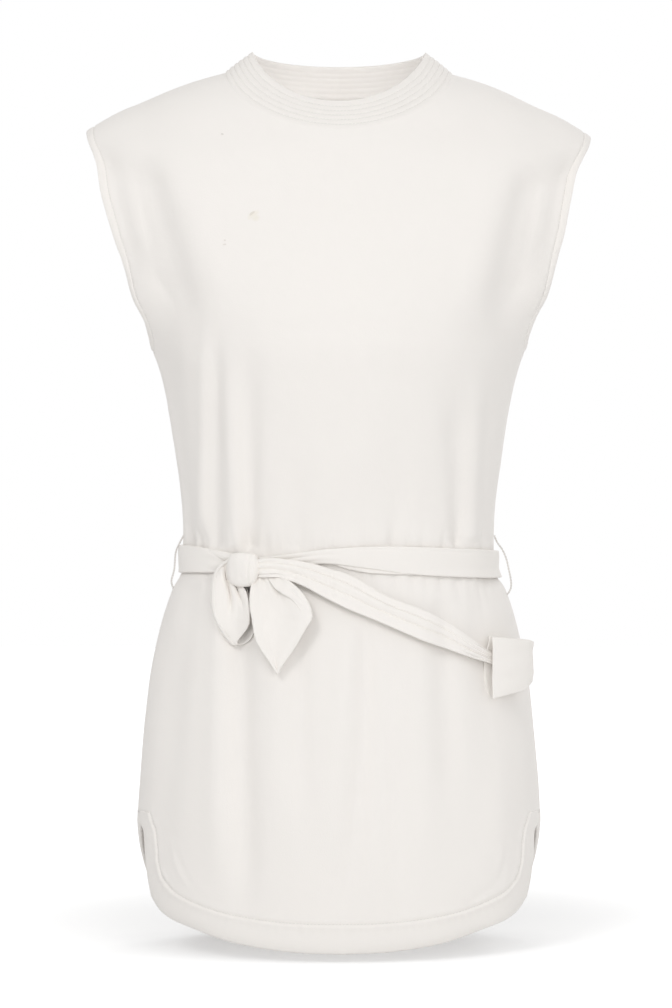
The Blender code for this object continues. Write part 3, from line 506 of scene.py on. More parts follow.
# upper edge of the hem band, from its top beside the vent to the centre
HEM_LINE = {
    FRONT: (
        (67.8, -65.6), (64.2, -66.8), (62.4, -68.2), (61.6, -69.6), (59.2, -70.8),
        (53.7, -71.75), (46.0, -72.5), (37.0, -73.15), (24.0, -73.7), (12.0, -73.95), (0.0, -74.0),
    ),
    BACK: (
        (80.0, -65.6), (76.8, -66.8), (73.0, -68.2), (69.8, -69.6), (65.5, -70.75),
        (57.0, -71.6), (46.0, -72.5), (37.0, -73.1), (24.0, -73.7), (12.0, -73.95), (0.0, -74.0),
    ),
}
HEM_CORNER, LINE_CORNER = 4, 5      # rows of the hem tables that lie beside the vent


def refine(points, value, still_ends=False):
    """Points of a smooth curve through a list of points, at places counted in steps of the list."""
    knots = np.array(points, float)
    slope = np.gradient(knots, axis=0)
    if still_ends:
        slope[0] = slope[-1] = 0.0
    value = np.asarray(value, float)
    i = np.clip(value.astype(int), 0, len(knots) - 2)
    return between(knots[i], knots[i + 1], slope[i], slope[i + 1], (value - i)[:, None])


def close_to_ends(count, first, ends=(0, 1)):
    """Shares from 0 to 1 in about count even steps, with closer ones (the list first) at the ends asked for."""
    low = list(first) if 0 in ends else [0.0]
    high = [1 - share for share in first[::-1]] if 1 in ends else [1.0]
    middle = np.linspace(low[-1], high[0], count + 1)[1:-1]
    return np.array(low + list(middle) + high)


print("tables of", len(ARMHOLE) + len(HEM) + len(HEM_LINE), "lines, and the neck's ellipse")

# %% [markdown]
# The armhole line needs one care: it closes over the shoulder tip and under the arm. The coarse points come
# first, the inner edge of the band is set off from them square to the line, and both are refined together.
# The hem needs another: it has a real corner where the vent turns into the hem, so each side of the corner is
# its own curve.

# %% The armhole and hem lines
ARM_STEPS = 13         # coarse steps of an armhole line, from the side seam to the shoulder tip
CROWDING = 0.35        # how much closer the steps are at both ends
NEAR_WIDEST = 0.93     # from this share of the half width on, an angle is found from the depth too


def seam_degrees(side, z):
    """Angle of the side seam from the centre of the front or the back."""
    return seam_turn(z) if side == FRONT else 180 - seam_turn(z)


def shoulder_point(x):
    """Angle and height of the shoulder line at one distance from the centre."""
    z = float(shoulder_line(x))
    return math.degrees(math.asin(x / float(half_width(z)))), z


def armhole_coarse(side, width):
    """Right side, from the side seam to the shoulder tip, set off by width from the free edge."""
    start = (seam_degrees(side, UNDERARM), UNDERARM)
    even = np.linspace(0, 1, ARM_STEPS + 1)
    shares = even - CROWDING * np.sin(math.tau * even) / math.tau
    edge = curve_at([start] + list(ARMHOLE[side]) + [shoulder_point(SHOULDER_TIP)], shares, METRIC)
    points = form_point(side, edge[:, 0], edge[:, 1])
    along = np.r_[points[1:2] - points[:1], points[2:] - points[:-2], points[-1:] - points[-2:-1]]
    across = unit(np.cross(form_normal(points), along))
    target = points - across * width * side
    share = target[:, 0] / half_width(target[:, 2])
    wide = np.degrees(np.arctan2(share, side * target[:, 1] / depth_at(target[:, 1], target[:, 2])))
    degrees = np.where(np.abs(share) < NEAR_WIDEST, np.degrees(np.arcsin(np.clip(share, -1, 1))), wide)
    inner = np.stack((degrees, target[:, 2]), 1)
    inner[0] = (seam_degrees(side, UNDERARM - width), UNDERARM - width)
    inner[-1] = shoulder_point(SHOULDER_TIP - width)
    return inner


def armhole_line(width, value):
    """Turn and height, from the tip down the front, under the arm and up the back to the tip again."""
    front = armhole_coarse(FRONT, width)
    back = armhole_coarse(BACK, width)
    back[:, 0] = 180 - back[:, 0]
    return refine(np.r_[front[::-1], back[1:]], value, still_ends=True)


def hem_pair(side, vent_shares, low_shares):
    """The band's free edge and its upper edge, right half, from beside the vent to the centre."""
    seam = seam_degrees(side, VENT_TOP)
    above = [(seam, BAND_TOP), (seam, VENT_TOP)]

    def through(beside, below):
        return np.r_[curve_at(beside, vent_shares, METRIC), curve_at(below, low_shares, METRIC)[1:]]

    return (
        through(above + list(HEM[side][:HEM_CORNER]), HEM[side][HEM_CORNER - 1:]),
        through(HEM_LINE[side][:LINE_CORNER], HEM_LINE[side][LINE_CORNER - 1:]),
    )


# places along a whole armhole, closer at the shoulder tip, where it starts and ends
ARM_VALUES = np.unique(np.r_[
    np.linspace(0, 2, 25),
    np.linspace(2, 2 * ARM_STEPS - 2, 12 * ARM_STEPS),
    np.linspace(2 * ARM_STEPS - 2, 2 * ARM_STEPS, 25),
].round(4))
print("armhole line:", len(ARM_VALUES), "points")

# %% [markdown]
# ## Stitch lines
#
# Topstitching is what gives this tunic its edges. The thread pulls both layers down into a narrow groove, the
# cloth swells beside it, and because the cloth is a little longer than the thread, small puckers run square to
# the line. All of this depends only on the distance from the nearest stitch line and on the place along it.
# One search tree holds every line, and every piece asks it. So the groove is the same on both pieces that
# meet there.

# %% Grooves and puckers beside every stitch line
ARM_STITCH = 0.84      # where the stitches run: share of the armhole band's width from its free edge
HEM_STITCH = 0.90      # the same for the hem band
GROOVE_DEEP, GROOVE_HALF = 0.040, 0.09     # the thread's groove
RIDGE_AT, RIDGE_HALF = 0.30, 0.17          # how far beside it the cloth swells, and how widely
PUCKER_HALF = 0.6      # how far the puckers reach
ARM_RIDGE, ARM_PUCKER = 0.020, 0.020       # heights at the armholes
HEM_RIDGE, HEM_PUCKER = 0.046, 0.034       # and at the hem
CORNER_PUCKER, CORNER_AT, CORNER_HALF = 0.05, 12.8, 2.4    # more of them at the hem's corners


def both_sides(half):
    """A right half that ends at the centre, and its mirror image after it."""
    return np.r_[half, (half * (-1, 1))[-2::-1]]


def stitch_paths():
    """Turns and heights of the four lines of topstitching."""
    found = {}
    for name, mirror in SIDES:
        turn, z = armhole_line(ARMHOLE_BAND * ARM_STITCH, np.linspace(0, 2 * ARM_STEPS, 900)).T
        found["armhole_" + name] = (turn * mirror, z)
    for name, side in PANELS:
        edge, line = hem_pair(side, np.linspace(0, 1, 400), np.linspace(0, 1, 700))
        degrees, z = both_sides(mix(edge, line, HEM_STITCH)).T
        found["hem_" + name] = (turn_of(side, degrees), z)
    return found


STITCH_PATHS = {name: cloth_point(turn, z)[0] for name, (turn, z) in stitch_paths().items()}
seams = KDTree(sum(len(path) for path in STITCH_PATHS.values()))
seam_marks = []        # distance along the line, height of the ridge beside it, height of its puckers
for name, path in STITCH_PATHS.items():
    for point, distance in zip(path, run_of(path)):
        seams.insert(point, len(seam_marks))
        if name.startswith("hem"):
            at_corner = bell(abs(point[0]) - CORNER_AT, CORNER_HALF)
            seam_marks.append((distance, HEM_RIDGE, HEM_PUCKER + CORNER_PUCKER * at_corner))
        else:
            seam_marks.append((distance, ARM_RIDGE, ARM_PUCKER))
seams.balance()
seam_marks = np.array(seam_marks)
# waves along the line: radians to a centimetre, phase, height
PUCKERS = (random.uniform(4.5, 13.0, 9), random.uniform(0, 6.28, 9), random.uniform(0.5, 1.0, 9))


def stitched(points):
    """How far the cloth rises or sinks because of the stitch lines near these points."""
    flat = points.reshape(-1, 3)
    nearest = [seams.find(p) for p in flat]
    d = np.array([hit[2] for hit in nearest]).reshape(points.shape[:-1])
    marks = seam_marks[[hit[1] for hit in nearest]].reshape(points.shape)
    along, ridge, pucker = marks[..., 0], marks[..., 1], marks[..., 2]
    ripple = sum(a * np.sin(f * along + p) for f, p, a in zip(*PUCKERS)) / 3.2
    groove = ridge * bell(d - RIDGE_AT, RIDGE_HALF) - GROOVE_DEEP * bell(d, GROOVE_HALF)
    return groove + pucker * ripple * bell(d, PUCKER_HALF) * eased(d / 0.12 + 0.3)


SEAM_DIP = 0.05        # how deep the cloth sinks at the side and shoulder seams


def sewn_point(turn, z):
    """The cloth's mid point with its folds, its stitch grooves and puckers, and the dips at its seams."""
    mid, out = cloth_point(turn, z)
    from_seam = np.abs(seam_turn(z) - np.abs(turn)) * NEAR_SIDES
    x, y = mid[..., 0], mid[..., 1]
    at_shoulder = (cap(x, z) < 0.03) * (np.abs(x) > NECK_HALF - 0.2)
    dip = SEAM_DIP * (bell(from_seam, 0.12) * (z < UNDERARM) + bell(y, 0.14) * at_shoulder)
    return mid + out * (stitched(mid) - dip)[..., None], out


for name, path in STITCH_PATHS.items():
    print(name, "stitch line:", round(float(run_of(path)[-1]), 1), "cm")

# %% [markdown]
# ## Builders for thin shells and closed bands
#
# Cloth has two faces and a real edge. Three small builders cover every piece: a panel is an outer and an inner
# face joined by a rim; a band is a rounded section carried along a path; a soft sheet is a grid with a
# thickness that rounds to nothing at its edges, like folded cloth does.
#
# No worn garment is quite symmetric. This one has settled a little at its right shoulder. Every point passes
# through the same small shift as its piece is finished, so panel, band and stitches settle together.

# %% Mesh builders
SHOULDER_DROP = 0.034  # for each centimetre beyond 6 cm from the centre
ARMHOLE_CUT = 0.45     # how much further in the right armhole lies, halfway up


def settle(points):
    """The right shoulder sits a few millimetres lower than the left, and its armhole cuts in a little more."""
    x, y, z = np.asarray(points, float).T
    lower = SHOULDER_DROP * np.maximum(x - 6.0, 0.0) * eased((z + 18.0) / 12.0)
    inward = ARMHOLE_CUT * eased((x - 13.0) / 7.0) * bell(z + 12.0, 3.4)
    return np.stack((x - inward, y, z - lower), 1)


def finish_piece(name, shape, material, nodes=()):
    """Makes the object from its points (in centimetres) and faces, says what it rides on, and hides the solids it
    stands for.
    """
    points, faces = shape
    mesh = bpy.data.meshes.new(name)
    mesh.from_pydata([tuple(p) for p in settle(points) * CM], [], faces)
    bm = bmesh.new()
    bm.from_mesh(mesh)
    bmesh.ops.recalc_face_normals(bm, faces=bm.faces)
    if bm.calc_volume(signed=True) < 0:
        bmesh.ops.reverse_faces(bm, faces=bm.faces)
    bm.to_mesh(mesh)
    bm.free()
    mesh.shade_smooth()
    mesh.materials.append(material)
    piece = bpy.data.objects.new(name, mesh)
    bpy.context.scene.collection.objects.link(piece)
    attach(piece, "root")
    if nodes:
        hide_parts(*nodes)
    areas = sum(face.area for face in mesh.polygons)
    triangles = sum(len(face.vertices) - 2 for face in mesh.polygons)
    print(f"{name}: {triangles} triangles, {areas / 2:.4f} square metres, one face")


def band_mesh(rings, closed):
    """Points and faces of a section (m points) carried along n places; ends are capped if it isn't closed."""
    n, m = rings.shape[:2]
    faces = []
    for i in range(n if closed else n - 1):
        ahead = (i + 1) % n
        for j in range(m):
            k = (j + 1) % m
            faces.append((i * m + j, i * m + k, ahead * m + k, ahead * m + j))
    if not closed:
        faces.append(tuple(range(m)))
        faces.append(tuple((n - 1) * m + j for j in reversed(range(m))))
    return rings.reshape(-1, 3), faces


def from_edge(grid, axis):
    """Distance of each point of a grid from the nearer of two opposite edges, along the grid."""
    steps = np.linalg.norm(np.diff(grid, axis=axis), axis=-1)
    pad = [(1, 0), (0, 0)] if axis == 0 else [(0, 0), (1, 0)]
    run = np.cumsum(np.pad(steps, pad), axis=axis)
    total = run[-1:] if axis == 0 else run[:, -1:]
    return np.minimum(run, total - run)


def sheet_mesh(grid, half, toward):
    """A closed sheet round a grid of mid points: half is its half thickness; its edges are rounded."""
    out = unit(np.cross(np.gradient(grid, axis=1), np.gradient(grid, axis=0)) + 1e-12)
    if np.sum(out * toward) < 0:
        out = -out
    thick = np.broadcast_to(half, grid.shape[:2]).astype(float)
    for axis in (0, 1):
        near = np.clip(from_edge(grid, axis) / np.maximum(thick, 1e-6), 0, 1)
        thick = thick * np.sqrt(1 - (1 - near) ** 2)
    n, m = grid.shape[:2]
    points = list((grid + out * thick[..., None]).reshape(-1, 3))
    back = {}
    under = grid - out * thick[..., None]
    for i in range(n):
        for j in range(m):
            if 0 < i < n - 1 and 0 < j < m - 1:
                back[i, j] = len(points)
                points.append(under[i, j])
            else:
                back[i, j] = i * m + j
    faces = []
    for i in range(n - 1):
        for j in range(m - 1):
            a, b, c, d = (i, j), (i, j + 1), (i + 1, j + 1), (i + 1, j)
            faces.append(tuple(r * m + s for r, s in (a, b, c, d)))
            faces.append(tuple(back[corner] for corner in (d, c, b, a)))
    return points, faces


ROUND = (0.0, 0.012, 0.03, 0.06, 0.1, 0.17)        # shares near a narrow strip's edges
print("builders: settle, finish_piece, band_mesh, sheet_mesh")

# %% [markdown]
# ## The cloth as a material
#
# The real cloth is a matt, heavy crepe: a tight weave of twisted yarns, so its surface is pebbled rather than
# ribbed, and from a step away it is simply matt. The grain is therefore a shader group that gives a height and
# a faint tint, in object coordinates, so it keeps its size on every piece. A second group gives the masks of
# three faint marks on the front: a dot, a smear and a pinch, with a soft halo of soil about the smear. Roughness
# and sheen stay plain numbers on each shader. A few helpers come first, because nodes are made often below.

# %% Helpers for shader nodes
def fill(tree, node, sockets):
    """Gives each socket named a value, or a link from another node's output."""
    for name, value in sockets.items():
        if isinstance(value, bpy.types.NodeSocket):
            tree.links.new(value, node.inputs[name])
        else:
            node.inputs[name].default_value = value


def add_node(tree, kind, sockets=None, **settings):
    """A node with its settings made and its sockets filled."""
    node = tree.nodes.new("ShaderNode" + kind)
    for name, value in settings.items():
        setattr(node, name, value)
    fill(tree, node, sockets or {})
    return node


def add_math(tree, operation, a, b):
    """The result of a sum on two numbers or outputs."""
    return add_node(tree, "Math", {0: a, 1: b}, operation=operation).outputs[0]


def shader_group(name, inputs, outputs):
    """An empty group with named number sockets; inputs gives each one's usual value."""
    group = bpy.data.node_groups.new(name, "ShaderNodeTree")
    for label, value in inputs.items():
        group.interface.new_socket(label, in_out="INPUT", socket_type="NodeSocketFloat").default_value = value
    for label in outputs:
        group.interface.new_socket(label, in_out="OUTPUT", socket_type="NodeSocketFloat")
    return group, group.nodes.new("NodeGroupInput").outputs, group.nodes.new("NodeGroupOutput")


print("helpers: fill, add_node, add_math, shader_group")

# %% Shared shader groups
# for each mask its blots: place across and up, angle, half length, half height, bend, how soft beside the others
MARK_BLOTS = {
    "Dot": ((-9.90, -7.80, 20.0, 0.13, 0.09, 0.0, 1.0),),
    "Smear": (
        (-7.32, -14.72, -38.0, 0.30, 0.11, 0.4, 1.0),
        (-9.60, -17.00, 0.0, 0.10, 0.08, 0.0, 1.0),
        (-9.62, -17.35, -8.0, 0.17, 0.07, 0.0, 1.0),
    ),
    "Halo": (
        (-7.22, -14.84, -36.0, 0.62, 0.30, 0.2, 2.0),
        (-7.02, -15.12, 0.0, 0.40, 0.34, 0.0, 2.0),
    ),
}
BLOT_END = 1.4         # where a blot ends: its half sizes are at 1
FRONT_ONLY = -0.02     # the marks lie in front of this depth, in metres


def make_crepe_group():
    """Pebbled crepe: height for a bump, and a faint tint that follows it and drifts over the cloth."""
    usual = {"Pebbles per metre": 1500.0, "Drift": 0.5}
    group, given, result = shader_group("crepe_grain", usual, ("Height", "Tint"))
    count = given["Pebbles per metre"]
    place = add_node(group, "TexCoord").outputs["Object"]
    longer = add_node(group, "Mapping", {"Vector": place, "Scale": (1.0, 1.0, 0.62)}).outputs[0]
    pebbles = add_node(group, "TexNoise", {"Vector": longer, "Scale": count, "Detail": 1.5}).outputs["Fac"]
    yarn_count = add_math(group, "MULTIPLY", count, 0.8)
    yarns = add_node(group, "TexVoronoi", {"Vector": longer, "Scale": yarn_count}).outputs["Distance"]
    slow = add_node(group, "TexNoise", {"Vector": place, "Scale": 9.0, "Detail": 2.0}).outputs["Fac"]
    drift = add_math(group, "MULTIPLY", add_math(group, "SUBTRACT", slow, 0.5), given["Drift"])
    fine = add_math(group, "MULTIPLY", add_math(group, "SUBTRACT", pebbles, 0.5), 0.4)
    tint = add_math(group, "ADD", add_math(group, "ADD", drift, fine), 0.5)
    fill(group, result, {"Height": add_math(group, "SUBTRACT", pebbles, yarns), "Tint": tint})
    return group


def make_marks_group():
    """Masks of small marks: each is made of soft blots, stretched along their own directions."""
    group, given, result = shader_group("faint_marks", {"Softness": 0.6}, MARK_BLOTS)
    place = add_node(group, "TexCoord").outputs["Object"]
    wobble = add_node(group, "TexNoise", {"Vector": place, "Scale": 900.0}).outputs["Fac"]

    def blot(x, z, angle, half_length, half_height, bend, softer):
        local = add_node(group, "Mapping", {
            "Vector": place,
            "Location": (x * CM, 0.0, z * CM),
            "Rotation": (0.0, math.radians(angle), 0.0),
            "Scale": (half_length * CM, 1.0, half_height * CM),
        }, vector_type="TEXTURE")
        parts = add_node(group, "SeparateXYZ", {0: local.outputs[0]}).outputs
        across = add_math(group, "MULTIPLY", parts["X"], parts["X"])
        raised = add_math(group, "ADD", parts["Z"], add_math(group, "MULTIPLY", across, bend))
        far = add_math(group, "ADD", across, add_math(group, "MULTIPLY", raised, raised))
        far = add_math(group, "ADD", far, add_math(group, "MULTIPLY", wobble, 0.5))
        full = add_math(group, "SUBTRACT", BLOT_END, add_math(group, "MULTIPLY", given["Softness"], softer))
        edge = add_node(group, "MapRange", {"Value": far, "From Min": BLOT_END, "From Max": full})
        return add_math(group, "MULTIPLY", edge.outputs[0], add_math(group, "LESS_THAN", parts["Y"], FRONT_ONLY))

    for output, (first, *others) in MARK_BLOTS.items():
        mask = blot(*first)
        for other in others:
            mask = add_math(group, "MAXIMUM", mask, blot(*other))
        fill(group, result, {output: mask})
    return group


CREPE = make_crepe_group()
MARKS = make_marks_group()
print("shader groups:", CREPE.name, MARKS.name)

# %% [markdown]
# Each part of the tunic gets its own cloth material, for the panels, the bands, the sash and the thread. The
# bands and the sash are the same cloth as the panels, so their tints differ only by painted light and shade: the
# bands are a little darker, painted shade for the light that doubled and stitched cloth lets through less, and the
# sash is a little lighter, painted light. The thread is darker.

# %% Cloth materials
# mask, its tone, how strongly it covers the cloth
MARK_TONES = (
    ("Halo", (0.80, 0.75, 0.60, 1), 0.34),
    ("Dot", (0.30, 0.26, 0.22, 1), 0.24),
    ("Smear", (0.42, 0.36, 0.28, 1), 0.22),
)


def cloth_material(name, light, dark, grain=0.00006, marks=False):
    """Matt crepe between two tints; grain is the height of its pebbles in metres."""
    material = bpy.data.materials.new(name)
    material.use_nodes = True
    tree = material.node_tree
    crepe = add_node(tree, "Group", node_tree=CREPE).outputs
    colour = add_node(tree, "Mix", {0: crepe["Tint"], 6: dark, 7: light}, data_type="RGBA").outputs[2]
    if marks:
        spots = add_node(tree, "Group", node_tree=MARKS).outputs
        for output, tone, strength in MARK_TONES:
            share = add_math(tree, "MULTIPLY", spots[output], strength)
            colour = add_node(tree, "Mix", {0: share, 6: colour, 7: tone}, data_type="RGBA").outputs[2]
    bump = add_node(tree, "Bump", {"Height": crepe["Height"], "Distance": grain, "Strength": 0.7})
    fill(tree, tree.nodes["Principled BSDF"], {
        "Base Color": colour, "Normal": bump.outputs[0],
        "Roughness": 0.88, "Specular IOR Level": 0.25, "Sheen Weight": 0.12, "Sheen Roughness": 0.5,
    })
    return material


PANEL = cloth_material("ivory_crepe", (0.915, 0.884, 0.850, 1), (0.875, 0.843, 0.807, 1), marks=True)
# painted shade: the bands' tint is a little darker than the panels', for the light that doubled cloth lets through
# less
BAND = cloth_material("ivory_crepe_band_painted_shade", (0.910, 0.879, 0.844, 1), (0.870, 0.838, 0.801, 1))
# painted light: the sash's tint is a little lighter than the panels'
SASH = cloth_material("ivory_crepe_sash_painted_light", (0.930, 0.899, 0.862, 1), (0.888, 0.854, 0.814, 1), grain=0.00008)
THREAD = cloth_material("ivory_thread", (0.83, 0.808, 0.778, 1), (0.77, 0.748, 0.718, 1), grain=0.00012)
print("materials:", [m.name for m in (PANEL, BAND, SASH, THREAD)])

# %% [markdown]
# ## Front and back panels
#
# On the real tunic the front and back are each one piece, cut on the fold and sewn together at the sides and
# shoulders. The mesh follows that cut. Its columns run from the hem to the shoulder and neck, its rows from one
# side to the other, and rows and columns crowd together near every seam, where the groove is narrow. Under the
# arm the armhole dips a little below the side seam's end. There the rows are kept in rising order, because rows
# that cross would show as a dark line.

# %% The two panels
SIDE_SHARES = (0.0, 0.025, 0.06, 0.14, 0.27, 0.45, 0.7)        # columns from the side seam to the vent's corner
VENT_START = 0.05                      # where the panel's columns start along the vent
TO_TOP = 1.5                           # how soon the columns turn from the hem's spacing to the neck's
EDGE_SHARE = 0.03                      # the rows bend to the armhole's own heights within this share
PANEL_OUT, PANEL_IN = 0.09, 0.03       # the cloth's two faces, from its mid line
ROW_STEP, WAIST_STEP = 0.4, 0.22       # height of a row, and of one near the sash
NEAR_WAIST = (-48.0, -41.0)
LEAST_ROW = 0.03                       # least height of a row under the arm
QUARTER = np.linspace(0, 1, 49)        # a quarter of the neck
NECK_TURNS = 90 - 90 * (QUARTER ** 1.75 * (1 - QUARTER) + QUARTER ** 2)    # side to centre, closer at the side
FULL_NECK = np.r_[NECK_TURNS, -NECK_TURNS[-2::-1]]


def neck_points(side, turns):
    """Angle and height of the neck seam; turns are measured round the neck, from the centre."""
    level = np.clip(np.cos(np.radians(turns)), 0, 1) ** COLLAR_DROP
    z = mix(NECK_SIDE, NECK_FRONT if side == FRONT else NECK_BACK, level)
    return np.stack((degrees_at(NECK_HALF * np.sin(np.radians(turns)), z), z), 1)


def panel_grid(side):
    """Angle and height of every point of a panel, in rows from the hem up; nan where a row has no point."""
    width = ARMHOLE_BAND * ARM_STITCH
    shares = close_to_ends(16, (0, 0.004, 0.010, 0.022, 0.045, 0.08, 0.13), ends=(0,))[:-1]
    x = mix(SHOULDER_TIP - width, NECK_HALF, shares)
    z = shoulder_line(x)
    shoulder = np.stack((degrees_at(x, z), z), 1)
    top = np.r_[shoulder, neck_points(side, FULL_NECK), (shoulder * (-1, 1))[::-1]]

    columns = len(SIDE_SHARES)
    half = (len(top) - 2 * columns + 1) // 2
    near_corner = (0, 0.004, 0.010, 0.022, 0.042, 0.07)
    low_shares = close_to_ends(half - len(near_corner), near_corner, ends=(0,))
    vent_shares = mix(VENT_START, 1.0, close_to_ends(15, (0, 0.006, 0.016, 0.035, 0.07, 0.12), ends=(1,)))
    edge, line = hem_pair(side, vent_shares, low_shares)
    cut = mix(edge, line, HEM_STITCH)
    vent, low = cut[:len(vent_shares)], cut[len(vent_shares) - 1:]
    bottom = both_sides(low)
    base_z = vent[0, 1]

    seam_z = np.r_[
        np.arange(base_z, NEAR_WAIST[0], ROW_STEP),
        np.arange(*NEAR_WAIST, WAIST_STEP),
        np.arange(NEAR_WAIST[1], UNDERARM - width, ROW_STEP),
    ]
    flank = np.stack((seam_degrees(side, seam_z), seam_z), 1)
    rise = np.unique(np.r_[np.arange(0, ARM_STEPS, 1 / 6), ARM_STEPS - np.array((0.1, 0.05, 0.02, 0.0))].round(5))
    arm = armhole_line(width, ARM_STEPS + side * rise)
    if side == BACK:
        arm[:, 0] = 180 - arm[:, 0]
    flank = np.r_[flank, arm]
    level = flank[:, 1].copy()         # heights of the rows, in rising order where the armhole's lowest part dips
    for k in range(1, len(level)):
        if level[k] < UNDERARM:
            level[k] = max(level[k], level[k - 1] + LEAST_ROW)

    corner = vent[0, 0] / flank[0, 0]
    outside = mix(1.0, corner, np.array(SIDE_SHARES))
    base = np.r_[outside, corner * bottom[:, 0] / bottom[0, 0], -outside[::-1]]

    rows = []
    for edge_degrees, edge_z in vent[:0:-1]:
        up = (edge_z - vent[-1, 1]) / (base_z - vent[-1, 1])
        row = np.full((len(top), 2), np.nan)
        row[columns:-columns, 0] = edge_degrees * bottom[:, 0] / bottom[0, 0]
        row[columns:-columns, 1] = mix(bottom[:, 1], base_z, up)
        rows.append(row)
    for (edge_degrees, edge_z), row_z in zip(flank, level):
        up = (edge_z - base_z) / (flank[-1, 1] - base_z)
        lift = eased((edge_z - UNDERARM) / (flank[-1, 1] - UNDERARM))
        share = mix(base, top[:, 0] / top[0, 0], up ** TO_TOP)
        inside = np.clip((1 - np.abs(share)) / EDGE_SHARE, 0, 1)
        height = mix(edge_z, row_z, inside) + (top[:, 1] - flank[-1, 1]) * lift
        rows.append(np.stack((edge_degrees * share, height), 1))
    return np.array(rows)


def make_panel(name, side, *nodes):
    """An outer and an inner face over the grid, joined by a rim along every free edge."""
    grid = panel_grid(side)
    n, m = grid.shape[:2]
    there = ~np.isnan(grid[..., 0])
    number = np.full((n, m), -1)
    number[there] = np.arange(there.sum())
    degrees, z = grid[there].T
    mid, out = sewn_point(turn_of(side, degrees), z)
    points = np.r_[mid + out * PANEL_OUT, mid - out * PANEL_IN]
    a, b, c, d = number[:-1, :-1], number[:-1, 1:], number[1:, 1:], number[1:, :-1]
    whole = (a >= 0) & (b >= 0) & (c >= 0) & (d >= 0)
    cells = np.stack((a[whole], b[whole], c[whole], d[whole]), 1)
    count = len(mid)
    faces = [tuple(cell) for cell in cells] + [tuple(cell[::-1] + count) for cell in cells]
    rim = {}               # edges of one cell only, in the order in which they were found
    for cell in cells:
        for p, q in zip(cell, np.roll(cell, -1)):
            if (q, p) in rim:
                del rim[q, p]
            else:
                rim[p, q] = True
    faces += [(q, p, p + count, q + count) for p, q in rim]
    finish_piece(name, (points, faces), PANEL, nodes)


make_panel("front_cloth", FRONT, "front_panel_top", "front_panel_skirt")
make_panel("back_cloth", BACK, "back_panel")

# %% [markdown]
# ## Armhole and hem bands
#
# The armholes are turned in and stitched 7 mm from the edge, and the hem has a shaped facing that also follows
# both vents. So each band is a rounded fold at its free edge, nearly flat, and sinks into the stitch groove
# where the panel begins. Behind the groove its facing carries on under the panel, as the real one does. The
# hem's free edge rolls under by 2 mm, so it ends in a soft line.

# %% Bands along the armholes and the hem
# share of the band's width from its free edge, height over the cloth's mid line: round the section once
ARM_SECTION = (
    (0.0, 0.0), (0.008, 0.045), (0.03, 0.088), (0.07, 0.118), (0.14, 0.134), (0.30, 0.138), (0.48, 0.132),
    (0.62, 0.124), (0.71, 0.114), (0.78, 0.100), (0.84, 0.088), (0.87, 0.02), (0.93, -0.04), (1.0, -0.05),
    (1.01, -0.09), (1.0, -0.125), (0.93, -0.13), (0.84, -0.13), (0.7, -0.13), (0.5, -0.13), (0.25, -0.13),
    (0.12, -0.122), (0.06, -0.108), (0.025, -0.082), (0.007, -0.043),
)
HEM_SECTION = (
    (0.0, 0.0), (0.003, 0.045), (0.010, 0.088), (0.022, 0.118), (0.045, 0.132), (0.09, 0.136), (0.18, 0.134),
    (0.30, 0.130), (0.42, 0.128), (0.54, 0.128), (0.64, 0.130), (0.72, 0.134), (0.775, 0.146), (0.815, 0.150),
    (0.845, 0.140), (0.87, 0.116), (0.887, 0.096), (0.90, 0.088), (0.912, 0.02), (0.94, -0.04), (1.0, -0.05),
    (1.004, -0.09), (1.0, -0.125), (0.94, -0.13), (0.90, -0.13), (0.8, -0.13), (0.65, -0.13), (0.5, -0.13),
    (0.35, -0.13), (0.2, -0.13), (0.1, -0.13), (0.045, -0.125), (0.02, -0.108), (0.009, -0.082), (0.003, -0.043),
)
HEM_ROLL = 0.22        # how far the hem's free edge turns under
END_ROUND = 0.13       # how near its ends an open band grows thin
END_THIN = 0.995       # and by what share


def band_rings(edge, line, section, mirror=1, open_ends=False):
    """Rings of a band between two lines of turns and heights."""
    share, height = np.array(section).T
    turn = mix(edge[:, None, 0], line[:, None, 0], share) * mirror
    z = mix(edge[:, None, 1], line[:, None, 1], share)
    mid, out = sewn_point(turn, z)
    height = np.broadcast_to(height, mid.shape[:2])
    if open_ends:
        near = np.clip(from_edge(mid, 0) / END_ROUND, 0, 1)
        height = height * np.sqrt(1 - (1 - near) ** 2 * END_THIN)
        height = height - HEM_ROLL * np.clip(1 - share / 0.35, 0, 1) ** 2
    return mid + out * height[..., None]


for name, mirror in SIDES:
    arm_edge, arm_line = (armhole_line(width, ARM_VALUES[:-1]) for width in (0.0, ARMHOLE_BAND))
    shape = band_mesh(band_rings(arm_edge, arm_line, ARM_SECTION, mirror), closed=True)
    finish_piece("armhole_edge_" + name, shape, BAND, ["armhole_band_" + name])

hem_shares = close_to_ends(24, (0, 0.004, 0.010, 0.020, 0.035), ends=(0,))
for name, side in PANELS:
    edge, line = hem_pair(side, hem_shares, np.linspace(0, 1, 111))
    edge, line = both_sides(edge), both_sides(line)
    edge[:, 0], line[:, 0] = turn_of(side, edge[:, 0]), turn_of(side, line[:, 0])
    if side == BACK:
        middle = len(edge) // 2
        edge[middle, 0] = line[middle, 0] = 180.0
    shape = band_mesh(band_rings(edge, line, HEM_SECTION, open_ends=True), closed=False)
    finish_piece("hem_" + name, shape, BAND, ["hem_band_" + name])

# %% [markdown]
# ## Neckband
#
# The neckband is a doubled strip that stands up from the neck seam and leans in. Rows of stitching divide it
# into six channels, each about 5 mm wide, and the cloth puffs up between them. Its section is worked out once
# in shares of its height, then set up at every place round the neck, between the seam and the top edge.

# %% The channel-stitched neckband
RIBS = 6
RIB_STEPS = 10         # places over each rib
RIB_HEIGHT = 0.095
GROOVE = 0.06          # height of the cloth in a groove over the band's mid line
EDGE_HIGH, EDGE_THICK = 0.10, 0.14     # the rounded fold along the top edge
INSIDE, INSIDE_RIB = 0.065, 0.05       # the inner face: its distance from the mid line, and its ribs


